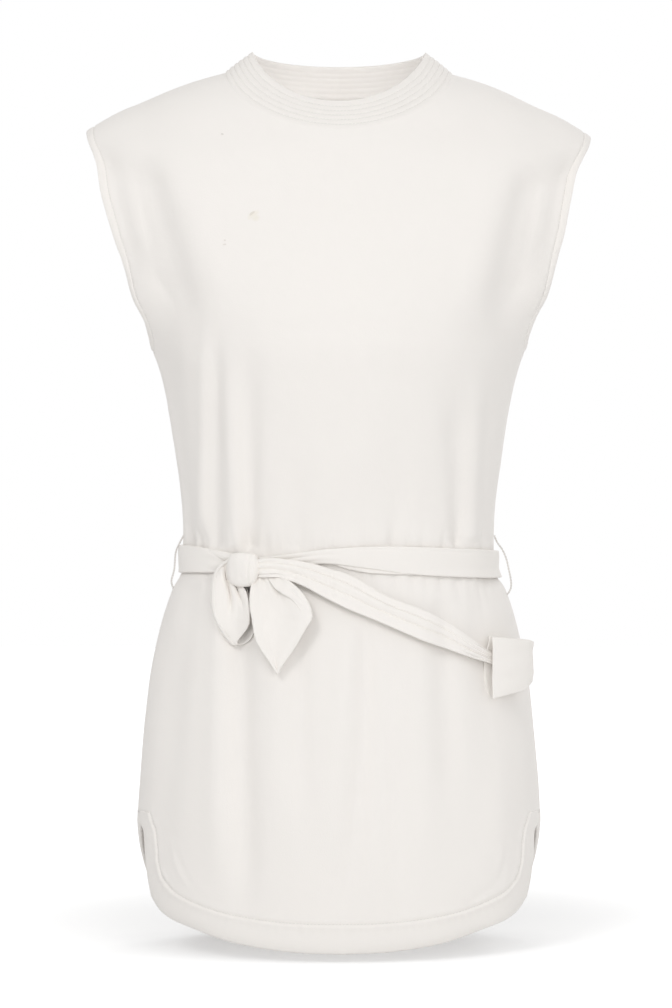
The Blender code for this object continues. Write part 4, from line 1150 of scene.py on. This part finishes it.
def neck_frames():
    """For each place round the neck: foot on the cloth, head at the top edge, and the directions out."""
    front = neck_points(FRONT, FULL_NECK)
    back = neck_points(BACK, FULL_NECK[::-1])[1:-1]
    turns = np.r_[FULL_NECK, FULL_NECK[::-1][1:-1]]
    is_front = np.r_[np.ones(len(front), bool), np.zeros(len(back), bool)]
    foot, foot_out = cloth_point(
        np.r_[front[:, 0], turn_of(BACK, back[:, 0])], np.r_[front[:, 1], back[:, 1]]
    )
    level = np.abs(np.cos(np.radians(turns)))
    soft = 0.10            # rounds the top edge where front and back meet
    drop = (np.sqrt(level ** 2 + soft ** 2) - soft) / (math.sqrt(1 + soft ** 2) - soft)
    y = np.where(is_front, COLLAR_FRONT[0], COLLAR_BACK[0]) * level
    z = np.where(is_front, COLLAR_FRONT[1], COLLAR_BACK[1]) * drop ** COLLAR_DROP
    head = np.stack((COLLAR_HALF * np.sin(np.radians(turns)), y, z), 1)
    up = unit(head - foot)
    along = np.roll(foot, 1, axis=0) - np.roll(foot, -1, axis=0)
    return foot, head, unit(np.cross(along, up)), foot_out, up


def neck_section():
    """Share of the height, distance out and extra distance up, round the section once."""
    places = []
    for rib in range(RIBS):
        for t in (1 - np.cos(np.pi * np.arange(RIB_STEPS) / RIB_STEPS)) / 2:
            puffed = 1.0 if rib == RIBS - 1 and t > 0.5 else math.sin(math.pi * t) ** 0.62
            places.append(((rib + t) / RIBS, GROOVE + RIB_HEIGHT * puffed, 0.0))
    for angle in np.radians((15, 40, 65, 90, 115, 140, 165)):
        places.append((1.0, 0.04 + EDGE_THICK * math.cos(angle), EDGE_HIGH * math.sin(angle)))
    for rib in reversed(range(RIBS)):
        for t in (0.85, 0.65, 0.35, 0.15, 0.0):
            places.append(((rib + t) / RIBS, -(INSIDE + INSIDE_RIB * math.sin(math.pi * t) ** 0.7), 0.0))
    return np.array(places).T


foot, head, collar_out, foot_out, collar_up = neck_frames()
share, height, extra = neck_section()
start = foot - collar_up * 0.03
turning = eased(share * RIBS)[:, None]                             # from the cloth's direction to the band's
direction = unit(mix(foot_out[:, None], collar_out[:, None], turning))
along_band = mix(start[:, None], head[:, None], share[:, None])
bulge = 0.22 * share * (1 - share)
waver = 1 + 0.10 * unevenness(along_band, SHORT_WAVES)
softer = mix(0.55, 1.0, np.abs(head[:, :1]) / COLLAR_HALF)         # the rows are flattest at the centre
channel = (height > GROOVE) & (share < 1 - 1 / RIBS)
height = np.where(channel, GROOVE + (height - GROOVE) * waver * softer, height) + bulge
neck_rings = along_band + direction * height[..., None] + collar_up[:, None] * extra[:, None]
finish_piece("neckband_channels", band_mesh(neck_rings, closed=True), BAND, ["neckband"])

# %% [markdown]
# ## Sash round the waist
#
# The sash is one long strip, folded double lengthwise, so it has a soft fold along each edge. It goes once
# round the waist. Where it runs to the knot it is squeezed into pleats, and on the right the fold of its upper
# edge shows as a line just under the edge.

# %% The stretch round the waist
# degrees from the front's centre, top height, bottom height
SASH_RUN = (
    (-30.0, -43.7, -45.1), (-18.0, -43.4, -44.6), (-6.0, -43.0, -44.2), (8.0, -42.75, -44.55),
    (25.0, -42.75, -45.1), (51.0, -42.95, -45.45), (90.0, -43.2, -45.6), (135.0, -43.0, -45.7),
    (180.0, -42.9, -45.6), (225.0, -42.8, -45.4), (270.0, -42.7, -45.15), (297.0, -42.8, -45.05),
    (312.0, -43.1, -45.0), (320.0, -43.4, -44.9),
)
SASH_HALF = 0.12       # half thickness of the folded strip
SASH_LIFT = 0.38       # how far its middle lies off the form


def smooth_waist(turn, z, lift):
    """Point over the form at the waist, upright, without the gathers under the sash."""
    on_form = form_point(FRONT, turn, z)
    out = unit(form_normal(on_form) * (1, 1, 0.3))
    lift = lift + 0.03 * unevenness(on_form, LONG_WAVES)
    return on_form + out * np.asarray(lift)[..., None], out


run = curve_at(SASH_RUN, np.linspace(0, 1, 520), (0.2, 0.0, 0.0))
degrees, z_high, z_low = run.T[..., None]
across = close_to_ends(22, ROUND)      # from the lower fold to the upper one
degrees = degrees * np.ones(len(across))
edges_in = -0.06 * np.abs(2 * across - 1) ** 4
right_front = eased((degrees - 2) / 10) * eased((82 - degrees) / 20)
line_under_edge = 0.02 * bell(across - 0.95, 0.04) - 0.055 * bell(across - 0.87, 0.035)
to_knot = np.maximum(eased((6 - degrees) / 30), eased((degrees - 300) / 16))
pleats = 0.06 * np.cos(math.tau * (across * 2.3 + 0.004 * degrees))
diagonal = across - (0.93 - (degrees - 306) * 0.042)
crease = -0.08 * bell(diagonal, 0.06) * eased((degrees - 302) / 4) * eased((319 - degrees) / 3)
sway = 0.035 * np.sin(degrees * 0.11 + 4 * across) * eased((degrees - 60) / 40)
back_fold = -0.05 * bell(across - 0.42 - 0.0012 * (degrees - 180), 0.05)
back_fold = back_fold * eased((degrees - 110) / 30) * eased((285 - degrees) / 40)
lift = SASH_LIFT + edges_in + right_front * line_under_edge + to_knot * pleats + crease + sway + back_fold
round_body = (degrees + 180) % 360 - 180
sash_grid, sash_out = smooth_waist(round_body, mix(z_low, z_high, across), lift)
finish_piece("sash_waist", sheet_mesh(sash_grid, SASH_HALF, sash_out), SASH, ["sash_round"])

# the fold that shows under it, to the right of the knot
UNDER_FROM, UNDER_TO, UNDER_TOP = -4.0, 31.0, -43.9
UNDER_LOW = ((UNDER_FROM, -44.1), (4.0, -44.7), (12.0, -45.02), (UNDER_TO, -45.2))
turn = np.linspace(UNDER_FROM, UNDER_TO, 90)[:, None]
across = close_to_ends(8, ROUND)
z = mix(smooth_line(UNDER_LOW)(turn), UNDER_TOP, across)
under_grid, under_out = smooth_waist(turn, z, 0.25 + 0.04 * across)
finish_piece("sash_waist_under", sheet_mesh(under_grid, 0.07, under_out), SASH)

# %% [markdown]
# ## The knot
#
# The tie is a barrel of cloth: the long end is wrapped once over the sash, from top to bottom. Its top is
# nearly straight, where the wrap turns over the sash's edge, and its foot is round. The wrap's own folds run
# from top to bottom and show as curved creases on the right of it.

# %% The knot
KNOT_AT = (-7.6, -44.75)
KNOT_HALF = (1.40, 0.86, 1.45)     # across, outward, upward
# across the barrel (-1 left, 1 right), half width, depth, bow
KNOT_CREASES = (
    (0.56, 0.055, 0.15, 0.10), (0.78, 0.05, 0.12, 0.06), (-0.42, 0.20, 0.05, -0.10), (0.12, 0.16, 0.035, 0.05),
)


def over_cloth(x, z, lift, side=FRONT):
    """Point at a distance out from the cloth that ends up at this very x and z."""
    at_x, at_z = np.array(x, float), np.array(z, float)
    for _ in range(4):
        point, out = on_cloth(at_x, at_z, lift, side)
        at_x = at_x + (x - point[..., 0])
        at_z = at_z + (z - point[..., 2])
    return point, out


centre, knot_out = smooth_waist(degrees_at(*KNOT_AT), KNOT_AT[1], 1.25)
knot_out = unit(knot_out * (1, 1, 0))
knot_right = unit(np.cross((0, 0, 1.0), knot_out))
if knot_right[0] < 0:
    knot_right = -knot_right
around = np.linspace(0, math.tau, 120, endpoint=False)
rows = []
for level in np.linspace(-1, 1, 81):
    angle = level * math.pi / 2        # above the middle the barrel is squarer than below
    p_up = np.sign(level) * abs(math.sin(angle)) ** (0.80 if level > 0 else 1.0)
    ring_width = max(math.cos(angle), 1e-3) ** (0.42 if level > 0 else 0.62)
    a = np.sign(np.cos(around)) * np.abs(np.cos(around)) ** 0.82 * ring_width
    b = np.sin(around) * ring_width
    a = a * (1 + 0.05 * eased(level + 0.6)) + 0.03 * (1 - level * level)
    pushed = np.zeros_like(a)
    for at, half, depth, bow in KNOT_CREASES:
        middle = at + bow * (level - level * level * level)
        pushed += depth * bell(a - middle, half)
    b = np.where(b > 0, b * (1 - pushed), b)
    b = b + 0.03 * np.sin(6.0 * level + 3.0 * a) * (1 - level * level) * (b > 0)
    rows.append(
        centre + np.outer(a, knot_right) * KNOT_HALF[0] + np.outer(b, knot_out) * KNOT_HALF[1]
        + np.array((0, 0, 1.0)) * (p_up * KNOT_HALF[2])
    )
finish_piece("sash_knot_wrap", band_mesh(np.array(rows), closed=False), SASH, ["sash_knot"])

# %% [markdown]
# ## The hanging ends at the knot
#
# Two ends hang from the knot. The left one is a loop: its cloth goes down in front, turns at its left edge and
# comes back against the skirt, so one looks into a dark hollow at its lower right. The right one is a single
# end whose outer edge is turned over to the front, and it runs out in a point.

# %% The left loop
# height, left edge, front layer's right edge, back layer's right edge, distance out in front, behind
LOOP = (
    (-43.75, -9.20, -8.55, -8.60, 1.00, 0.85),
    (-44.20, -9.90, -8.45, -8.50, 1.15, 0.80),
    (-44.80, -10.45, -8.45, -8.45, 1.22, 0.72),
    (-45.60, -10.72, -8.42, -8.30, 1.26, 0.56),
    (-46.50, -10.78, -7.85, -7.70, 1.32, 0.44),
    (-47.30, -10.78, -7.62, -7.48, 1.38, 0.36),
    (-48.20, -10.66, -7.50, -7.32, 1.42, 0.32),
    (-48.95, -10.38, -7.50, -7.15, 1.42, 0.30),
    (-49.60, -10.02, -7.72, -7.10, 1.36, 0.30),
    (-50.20, -9.62, -8.15, -7.25, 1.22, 0.28),
    (-50.70, -9.22, -8.55, -7.60, 1.02, 0.27),
    (-51.00, -8.85, -8.60, -8.05, 0.80, 0.26),
)
FRONT_ENDS, BACK_STARTS = 0.44, 0.56   # shares of the cloth's way: front layer, turn, back layer
TURN_RADIUS = 0.22     # of the turn at the left edge


def table_lines(table, count=90):
    """Every column of a table as a smooth line, at even steps down its first column."""
    z = np.linspace(table[0][0], table[-1][0], count)
    return [z] + [smooth_line(table, column)(z) for column in range(1, len(table[0]))]


z, left, front_right, back_right, out_front, out_back = table_lines(LOOP)


def loop_layer(s):
    """Place across and distance out of the cloth at a share of its way, at every height."""
    if s <= FRONT_ENDS:
        t = s / FRONT_ENDS
        x = mix(front_right, left + TURN_RADIUS, t)
        lift = mix(out_front * 0.93, out_front, math.sin(math.pi * min(t * 1.1, 1.0)) ** 0.8) - 0.10 * t ** 3
        crease = mix(-9.62, -9.18, eased((-45.0 - z) / 2.4))
        lift = lift - 0.52 * bell(x - crease, 0.19) * eased((z + 48.8) / 2.2)
        lift = lift + 0.14 * bell(x - crease - 0.42, 0.24) * eased((z + 49.4) / 2.6)
        second = mix(-8.90, -8.05, eased((-45.4 - z) / 2.6))
        lift = lift - 0.30 * bell(x - second, 0.13) * eased((z + 48.9) / 2.6)
        return x, lift + 0.07 * bell(x + 10.2, 0.30) * eased((-46.0 - z) / 2)
    if s < BACK_STARTS:
        turn = (s - FRONT_ENDS) / (BACK_STARTS - FRONT_ENDS) * math.pi
        near, far = out_back, out_front - 0.10
        return left + TURN_RADIUS * (1 - math.sin(turn)), (far + near) / 2 + (far - near) / 2 * math.cos(turn)
    t = (s - BACK_STARTS) / (1 - BACK_STARTS)
    return mix(left + TURN_RADIUS, back_right, t), out_back + 0.05 * math.sin(math.pi * t)


path = np.r_[
    close_to_ends(26, (0, 0.01, 0.03, 0.07), ends=(0,)) * FRONT_ENDS,
    np.linspace(FRONT_ENDS, BACK_STARTS, 13)[1:-1],
    close_to_ends(20, (0, 0.02, 0.06), ends=(1,)) * (1 - BACK_STARTS) + BACK_STARTS,
]
loop_x, loop_lift = np.array([loop_layer(s) for s in path]).T.swapaxes(0, 1)
loop_z = z[:, None] - 0.10 * np.sin(math.pi * path) * eased((z[:, None] + 46) / -3)
loop_grid, loop_out = over_cloth(loop_x, loop_z, loop_lift)
shape = sheet_mesh(loop_grid, 0.085, loop_out * np.where(path < 0.5, 1, -1)[:, None])
finish_piece("sash_loop_left", shape, SASH, ["sash_tail_left"])

# %% [markdown]
# The right end is drawn out of the foot of the knot, so its top is gathered into small pleats that open
# downwards. Its turned-over edge lies on top of it and catches the light.

# %% The right end and its turned edge
# height, left edge, right edge, distance out, depth of its hollow
TAIL = (
    (-45.00, -7.05, -5.35, 0.86, 0.02),
    (-45.60, -7.30, -4.30, 0.92, 0.10),
    (-46.20, -7.48, -3.50, 1.00, 0.20),
    (-47.20, -7.56, -2.66, 1.12, 0.30),
    (-48.10, -7.50, -2.28, 1.24, 0.36),
    (-48.70, -7.36, -2.26, 1.30, 0.38),
    (-49.50, -7.24, -2.72, 1.32, 0.36),
    (-50.40, -7.06, -3.22, 1.28, 0.32),
    (-51.30, -6.58, -3.76, 1.18, 0.24),
    (-52.20, -5.96, -4.42, 1.06, 0.14),
    (-53.10, -5.36, -4.96, 0.94, 0.04),
    (-53.35, -5.20, -5.08, 0.92, 0.01),
)
z, left, right, out_far, hollow = (column[:, None] for column in table_lines(TAIL))
across = close_to_ends(34, ROUND)
bowl = np.cos(math.tau * (0.88 - across) * 1.15)
pleats = 0.085 * np.cos(math.tau * across * 4.2 + 0.8) * eased((z + 48.2) / 2.6)
soft_waves = 0.05 * np.cos(math.tau * (across * 1.9 + 0.06 * z))
edge_line = -0.10 * bell(across - 0.10, 0.05) * eased((z + 52) / 3)
lift = out_far + hollow * bowl + pleats + soft_waves + edge_line
tail_grid, tail_out = over_cloth(mix(left, right, across), z, lift)
finish_piece("sash_tail", sheet_mesh(tail_grid, 0.10, tail_out), SASH, ["sash_tail_right"])

# height, inner line, outer edge, distance out
TURNED = (
    (-45.35, -6.00, -4.80, 1.04),
    (-46.10, -5.53, -3.58, 1.30),
    (-46.60, -4.90, -3.10, 1.40),
    (-47.10, -4.06, -2.72, 1.48),
    (-47.80, -3.45, -2.38, 1.58),
    (-48.40, -2.98, -2.24, 1.66),
    (-48.68, -2.50, -2.24, 1.70),
)
z, inner, outer, out_far = (column[:, None] for column in table_lines(TURNED, 60))
across = close_to_ends(14, ROUND)
lift = out_far - 0.10 * across ** 2 + 0.05 * np.cos(math.tau * (across * 1.3 + z * 0.35))
turned_grid, turned_out = over_cloth(mix(inner, outer, across), z, lift)
finish_piece("sash_tail_turned_edge", sheet_mesh(turned_grid, 0.06, turned_out), SASH)

# %% [markdown]
# ## The long end
#
# The sash's long end leaves the knot on the right and crosses the skirt. It is pulled a little, so its cloth
# lies in lengthwise folds that close up towards the far end, where it is tucked through its own folded tip.

# %% The strap across the skirt
# top edge x and z, bottom edge x and z, distance out, depth of the lengthwise folds
STRAP = (
    (-6.90, -43.85, -6.80, -45.30, 1.30, 0.02),
    (-5.90, -43.72, -5.80, -45.30, 1.26, 0.05),
    (-4.60, -43.78, -4.80, -45.40, 1.14, 0.08),
    (-2.40, -44.12, -3.00, -46.05, 1.02, 0.10),
    (-0.70, -44.62, -1.50, -46.85, 0.96, 0.12),
    (1.26, -45.30, 0.60, -47.90, 0.90, 0.13),
    (4.10, -46.92, 3.40, -49.05, 0.86, 0.13),
    (7.30, -48.15, 6.75, -50.50, 0.88, 0.12),
    (9.30, -49.20, 8.90, -51.30, 0.88, 0.10),
    (11.40, -50.70, 11.00, -52.05, 0.84, 0.07),
    (13.20, -51.95, 13.10, -52.70, 0.86, 0.03),
    (13.70, -52.20, 13.60, -52.75, 0.86, 0.02),
)
STRAP_STEPS = 200
places = np.linspace(0, len(STRAP) - 1, STRAP_STEPS)
top_x, top_z, low_x, low_z, out_far, fold_depth = refine(STRAP, places).T[..., None]
across = close_to_ends(40, ROUND)
run = np.linspace(0, 1, STRAP_STEPS)[:, None]
folds = fold_depth * (
    0.55 * np.cos(math.tau * (1.5 * across + 0.10 * np.sin(5 * run)))
    + 0.35 * np.cos(math.tau * (3.2 * across + 0.25 * run + 0.08 * np.sin(9 * run)))
)
line_above = -0.11 * bell(across - 0.74 + 0.06 * run, 0.035) * eased(run / 0.2) * eased((0.9 - run) / 0.2)
line_below = -0.08 * bell(across - 0.36 - 0.10 * run, 0.04) * eased((run - 0.12) / 0.2)
far_pleats = 0.09 * np.cos(math.tau * 4.0 * across) * eased((run - 0.72) / 0.2)
knot_pleats = 0.07 * np.cos(math.tau * 3.0 * across + 1.0) * eased((0.22 - run) / 0.2)
lift = out_far + folds + line_above + line_below + (far_pleats + knot_pleats)
strap_grid, strap_out = over_cloth(mix(low_x, top_x, across), mix(low_z, top_z, across), lift)
finish_piece("sash_strap", sheet_mesh(strap_grid, 0.10, strap_out), SASH, ["sash_long_end"])

# %% [markdown]
# The far tip of the sash is folded back flat. Seen from above it is a hairpin: a front flap, the fold on the
# outside, and a back layer against the skirt. The strap runs into the gap between the two.

# %% The folded tip
# plan from the front flap's edge round the fold to the back layer's edge: x and y
END_FOLD = (
    (12.98, -7.95), (14.20, -7.25), (15.50, -6.22), (16.30, -5.40), (16.55, -4.95),
    (16.15, -4.68), (15.50, -4.95), (14.60, -5.65), (13.60, -6.40), (12.52, -7.00),
)
END_TOP, END_BOTTOM = (-50.4, -50.8), (-55.65, -54.9)      # heights at the flap's edge and at the fold
END_REACH = 16.55      # how far out the fold lies
shares = close_to_ends(60, (0, 0.006, 0.014, 0.026))[:, None]
levels = close_to_ends(40, (0, 0.006, 0.016, 0.03, 0.05))
plan = curve_at(END_FOLD, shares[:, 0])
along = unit(np.gradient(plan, axis=0))
away = np.clip((plan[:, :1] - END_FOLD[0][0]) / (END_REACH - END_FOLD[0][0]), 0, 1)
bottom = mix(*END_BOTTOM, away) + 0.55 * np.clip((away - 0.72) / 0.28, 0, 1) ** 2.2
top = mix(*END_TOP, away) - 0.10 * np.clip((away - 0.9) / 0.1, 0, 1) ** 2
puff = 0.10 * np.sin(math.pi * levels) * np.sin(math.pi * np.clip(shares * 2.1, 0, 1))
puff = puff + 0.035 * np.cos(9.0 * levels + 7.0 * shares) + 0.02 * np.sin(17 * levels - 4 * shares)
back_edge = eased((shares - 0.86) / 0.14)
swing = 0.42 * back_edge * (0.45 - np.sin(math.pi * np.clip(levels * 1.05 + 0.02, 0, 1)))
end_grid = np.stack((
    plan[:, :1] + along[:, 1:] * puff + swing, plan[:, 1:] - along[:, :1] * puff, mix(bottom, top, levels)
), -1)
end_out = np.stack((along[:, 1], -along[:, 0], np.zeros(len(plan))), 1)[:, None]
finish_piece("sash_tip_fold", sheet_mesh(end_grid, 0.075, end_out), SASH, ["sash_end_fold"])

# %% [markdown]
# ## Thread loops and stitches
#
# At each side seam a loop of twisted thread holds the sash: two plies laid round each other. The same small
# tube builder makes them both. The stitches themselves are short, fat capsules that lie in the grooves, and
# they lean a little, as lock stitches do.

# %% Thread loops
# distance out from the form's side, height
THREAD_LOOPS = {
    "left": (
        (0.04, -41.9), (0.32, -42.4), (0.68, -43.2), (0.80, -44.2),
        (0.82, -45.1), (0.64, -45.8), (0.24, -46.3), (0.06, -46.5),
    ),
    "right": (
        (0.04, -41.9), (0.24, -42.4), (0.72, -43.1), (1.10, -44.0),
        (1.26, -45.0), (0.86, -46.1), (0.30, -46.8), (0.06, -47.0),
    ),
}
LOOP_Y = -0.7          # how far in front of the form's widest point they lie
LOOP_POINTS, LOOP_TWISTS = 150, 11
PLY_OFF, PLY_RADIUS = 0.043, 0.045


def tube(path, radius, sides=8):
    """Points and faces of a capped tube along a path."""
    ahead = unit(np.gradient(path, axis=0))
    helper = np.where(np.abs(ahead[:, 1:2]) < 0.9, [[0, 1.0, 0]], [[1.0, 0, 0]])
    side = unit(np.cross(ahead, helper))
    over = np.cross(ahead, side)
    angle = np.linspace(0, math.tau, sides, endpoint=False)[:, None]
    rings = path[:, None] + radius * (side[:, None] * np.cos(angle) + over[:, None] * np.sin(angle))
    return band_mesh(rings, closed=False)


def join(parts):
    """Several meshes as one list of points and faces."""
    points, faces, count = [], [], 0
    for part_points, part_faces in parts:
        points.append(part_points)
        faces += [tuple(k + count for k in face) for face in part_faces]
        count += len(part_points)
    return np.concatenate(points), faces


for name, mirror in SIDES:
    off_side, z = curve_at(THREAD_LOOPS[name], np.linspace(0, 1, LOOP_POINTS)).T
    spine = np.stack((mirror * (half_width(z) + off_side), np.full(LOOP_POINTS, LOOP_Y), z), 1)
    side = unit(np.cross(unit(np.gradient(spine, axis=0)), (0, 1.0, 0)))
    twist = np.linspace(0, math.tau * LOOP_TWISTS, LOOP_POINTS)[:, None]
    plies = []
    for phase in (0.0, math.pi):
        around_spine = side * np.cos(twist + phase) + np.array((0, 1.0, 0)) * np.sin(twist + phase)
        plies.append(tube(spine + around_spine * PLY_OFF, PLY_RADIUS))
    finish_piece("thread_loop_" + name, join(plies), THREAD, ["carrier_" + name])

# %% Stitches
STITCH_EVERY, STITCH_LONG, STITCH_THICK = 0.30, 0.21, 0.032
STITCH_LEAN = 0.12     # how far a stitch leans across its row
ON_SEAM, ON_RIBS = 0.085, 0.008        # how far the rows lie out from the seam's middle and from the ribs' groove
# share of a stitch's length from its middle, share of its thickness
STITCH_PROFILE = ((-0.5, 0.25), (-0.38, 0.85), (0.0, 1.0), (0.38, 0.85), (0.5, 0.25))


def stitch_row(name, path, out):
    """Short capsules along a path, each one leaning a little across it."""
    run = run_of(path)
    places = np.arange(STITCH_EVERY / 2, run[-1], STITCH_EVERY)

    def at_places(values, shift=0.0):
        return np.stack([np.interp(places + shift, run, column) for column in values.T], 1)

    up = unit(at_places(out))
    along = unit(at_places(path, 0.05) - at_places(path, -0.05))
    along = unit(along + STITCH_LEAN * unit(np.cross(up, along)))
    across = unit(np.cross(up, along))
    angle = np.linspace(0, math.tau, 6, endpoint=False)
    stitches = []
    for c, a, b, u in zip(at_places(path), along, across, up):
        circle = np.outer(np.cos(angle), b) + np.outer(np.sin(angle), u)
        rings = [c + a * STITCH_LONG * t + STITCH_THICK * wide * circle for t, wide in STITCH_PROFILE]
        stitches.append(band_mesh(np.array(rings), closed=False))
    finish_piece(name, join(stitches), THREAD)


for name, (turn, z) in stitch_paths().items():
    mid, out = sewn_point(turn, z)
    stitch_row("stitches_" + name, mid + out * ON_SEAM, out)

for rib in range(1, RIBS):
    groove = neck_rings[:, rib * RIB_STEPS], direction[:, rib * RIB_STEPS]
    ring, outward = (np.r_[values, values[:1]] for values in groove)
    stitch_row(f"stitches_neck_{rib}", ring + outward * ON_RIBS, outward)

# %% [markdown]

# %% [markdown]
# ## Floor, light and camera
#
# Such a garment is usually shown in a white sweep with large soft lights, so that only broad, faint shading is
# left. The floor is white because it glows: a little for every ray, which also lights the garment from below, and
# more for the camera. Close under the garment that glow is weaker. This is a painted shadow, added to the real
# shadow that the lamps cast on the floor, and it fades to white away from the garment.

# %% Floor
FLOOR_Z = -0.775
FLOOR_HALF = 6
CORNERS = [(-1, -1), (1, -1), (1, 1), (-1, 1)]
floor_mesh = bpy.data.meshes.new("floor")
floor_mesh.from_pydata([(x * FLOOR_HALF, y * FLOOR_HALF, 0) for x, y in CORNERS], [], [(0, 1, 2, 3)])
floor = bpy.data.objects.new("floor", floor_mesh)
floor.location = (0, 0.20, FLOOR_Z)    # the fade is measured from here, a little behind the garment
bpy.context.scene.collection.objects.link(floor)
floor_material = bpy.data.materials.new("white_floor_painted_shadow")
floor_material.use_nodes = True
tree = floor_material.node_tree
far = add_node(tree, "VectorMath", {0: add_node(tree, "TexCoord").outputs["Object"]}, operation="LENGTH")
# painted shadow: the camera's glow on the floor is weakest near this point, close under the garment, and rises to
# white within half a metre
painted_shadow_fade = add_node(tree, "MapRange", {
    "Value": far.outputs["Value"], "From Min": 0.1, "From Max": 0.5, "To Min": 0.115, "To Max": 0.44,
}, interpolation_type="SMOOTHSTEP")
seen = add_math(tree, "MULTIPLY", add_node(tree, "LightPath").outputs["Is Camera Ray"], painted_shadow_fade.outputs["Result"])
# the floor glows a little for every ray, a painted light that lights the garment from below
fill(tree, tree.nodes["Principled BSDF"], {
    "Base Color": (0.70, 0.70, 0.70, 1), "Roughness": 0.9, "Specular IOR Level": 0.0,
    "Emission Color": (1, 1, 1, 1), "Emission Strength": add_math(tree, "ADD", seen, 0.15),
})
floor_mesh.materials.append(floor_material)
print("floor at", FLOOR_Z, "m")

# %% [markdown]
# Ivory cloth on white shows its shape only where it turns from the light. The world is nearly even, and a little
# brighter from above, from behind and from the right, so the sides darken softly and not alike. A key from the
# upper left draws the folds, a large fill keeps them faint, and a lamp behind lights the back. Real crepe lets
# some light through. The shells here are opaque, so two faint lamps inside the garment stand for that light.

# %% Light
EVEN_LIGHT = 0.405
MORE_LIGHT = (("Y", 0.30), ("X", 0.20), ("Z", 0.30))       # from behind, from the right, from above
WHITE = (1, 1, 1, 1)
LOOK_AT = (0, 0, -0.4)
# place, size in metres, watts
AREA_LIGHTS = {
    "key": ((-1.37, -2.74, 1.5), 1.1, 26.5),
    "fill": ((1.0, -3.1, 0.0), 1.6, 19.5),
    "behind": ((1.5, 2.9, 0.9), 1.1, 16),
}
# place, watts
INNER_LIGHTS = {"inside_neck": ((0, -0.01, -0.13), 0.15), "inside_skirt": ((0, 0, -0.48), 0.10)}


def make_world():
    """Lights the scene a little unevenly, while the camera sees plain white."""
    world = bpy.data.worlds.new("studio")
    bpy.context.scene.world = world
    world.use_nodes = True
    tree = world.node_tree
    tree.nodes.clear()
    toward = add_node(tree, "SeparateXYZ", {0: add_node(tree, "TexCoord").outputs["Generated"]}).outputs
    level = EVEN_LIGHT
    for axis, more in MORE_LIGHT:
        level = add_math(tree, "ADD", level, add_math(
            tree, "MULTIPLY", add_math(tree, "MAXIMUM", toward[axis], 0.0), more
        ))
    light = add_node(tree, "Background", {"Color": WHITE, "Strength": level})
    seen = add_node(tree, "Background", {"Color": WHITE})
    rays = add_node(tree, "LightPath").outputs["Is Camera Ray"]
    both = add_node(tree, "MixShader", {0: rays, 1: light.outputs[0], 2: seen.outputs[0]})
    add_node(tree, "OutputWorld", {0: both.outputs[0]})


def add_lamp(name, kind, place, power):
    data = bpy.data.lights.new(name, kind)
    data.energy = power
    lamp = bpy.data.objects.new(name, data)
    lamp.location = place
    bpy.context.scene.collection.objects.link(lamp)
    return lamp


make_world()
for name, (place, size, power) in AREA_LIGHTS.items():
    lamp = add_lamp(name, "AREA", place, power)
    lamp.data.size = size
    lamp.rotation_euler = (Vector(LOOK_AT) - Vector(place)).to_track_quat("-Z", "Y").to_euler()
for name, (place, power) in INNER_LIGHTS.items():
    lamp = add_lamp(name, "POINT", place, power)
    lamp.data.shadow_soft_size = 0.04
    lamp.data.color = (0.92, 0.95, 1.0)
    lamp.visible_camera = False
bpy.context.scene.view_settings.view_transform = "Standard"
print("light: world", EVEN_LIGHT, "and up, lamps", [*AREA_LIGHTS, *INNER_LIGHTS])

# %% [markdown]
# The camera stands three metres in front, level with the middle of the garment, and looks straight at it. From
# there a long lens is needed, so that the frame's height takes in just under 88 cm.

# %% Camera
CAMERA_AT = (-0.0026, -3.0, -0.3915)
SENSOR = 36.0          # millimetres
FRAME_ROWS, ROW_SIZE = 1008, 0.00087   # rows of the frame, metres that each takes in
camera_data = bpy.data.cameras.new("camera")
camera_data.sensor_width = SENSOR
camera_data.lens = SENSOR * -CAMERA_AT[1] / (FRAME_ROWS * ROW_SIZE)
camera = bpy.data.objects.new("camera", camera_data)
camera.location = CAMERA_AT
camera.rotation_euler = (math.radians(90), 0, 0)
bpy.context.scene.collection.objects.link(camera)
bpy.context.scene.camera = camera
print("camera at", [round(v, 3) for v in camera.location], "lens", round(camera_data.lens, 1))
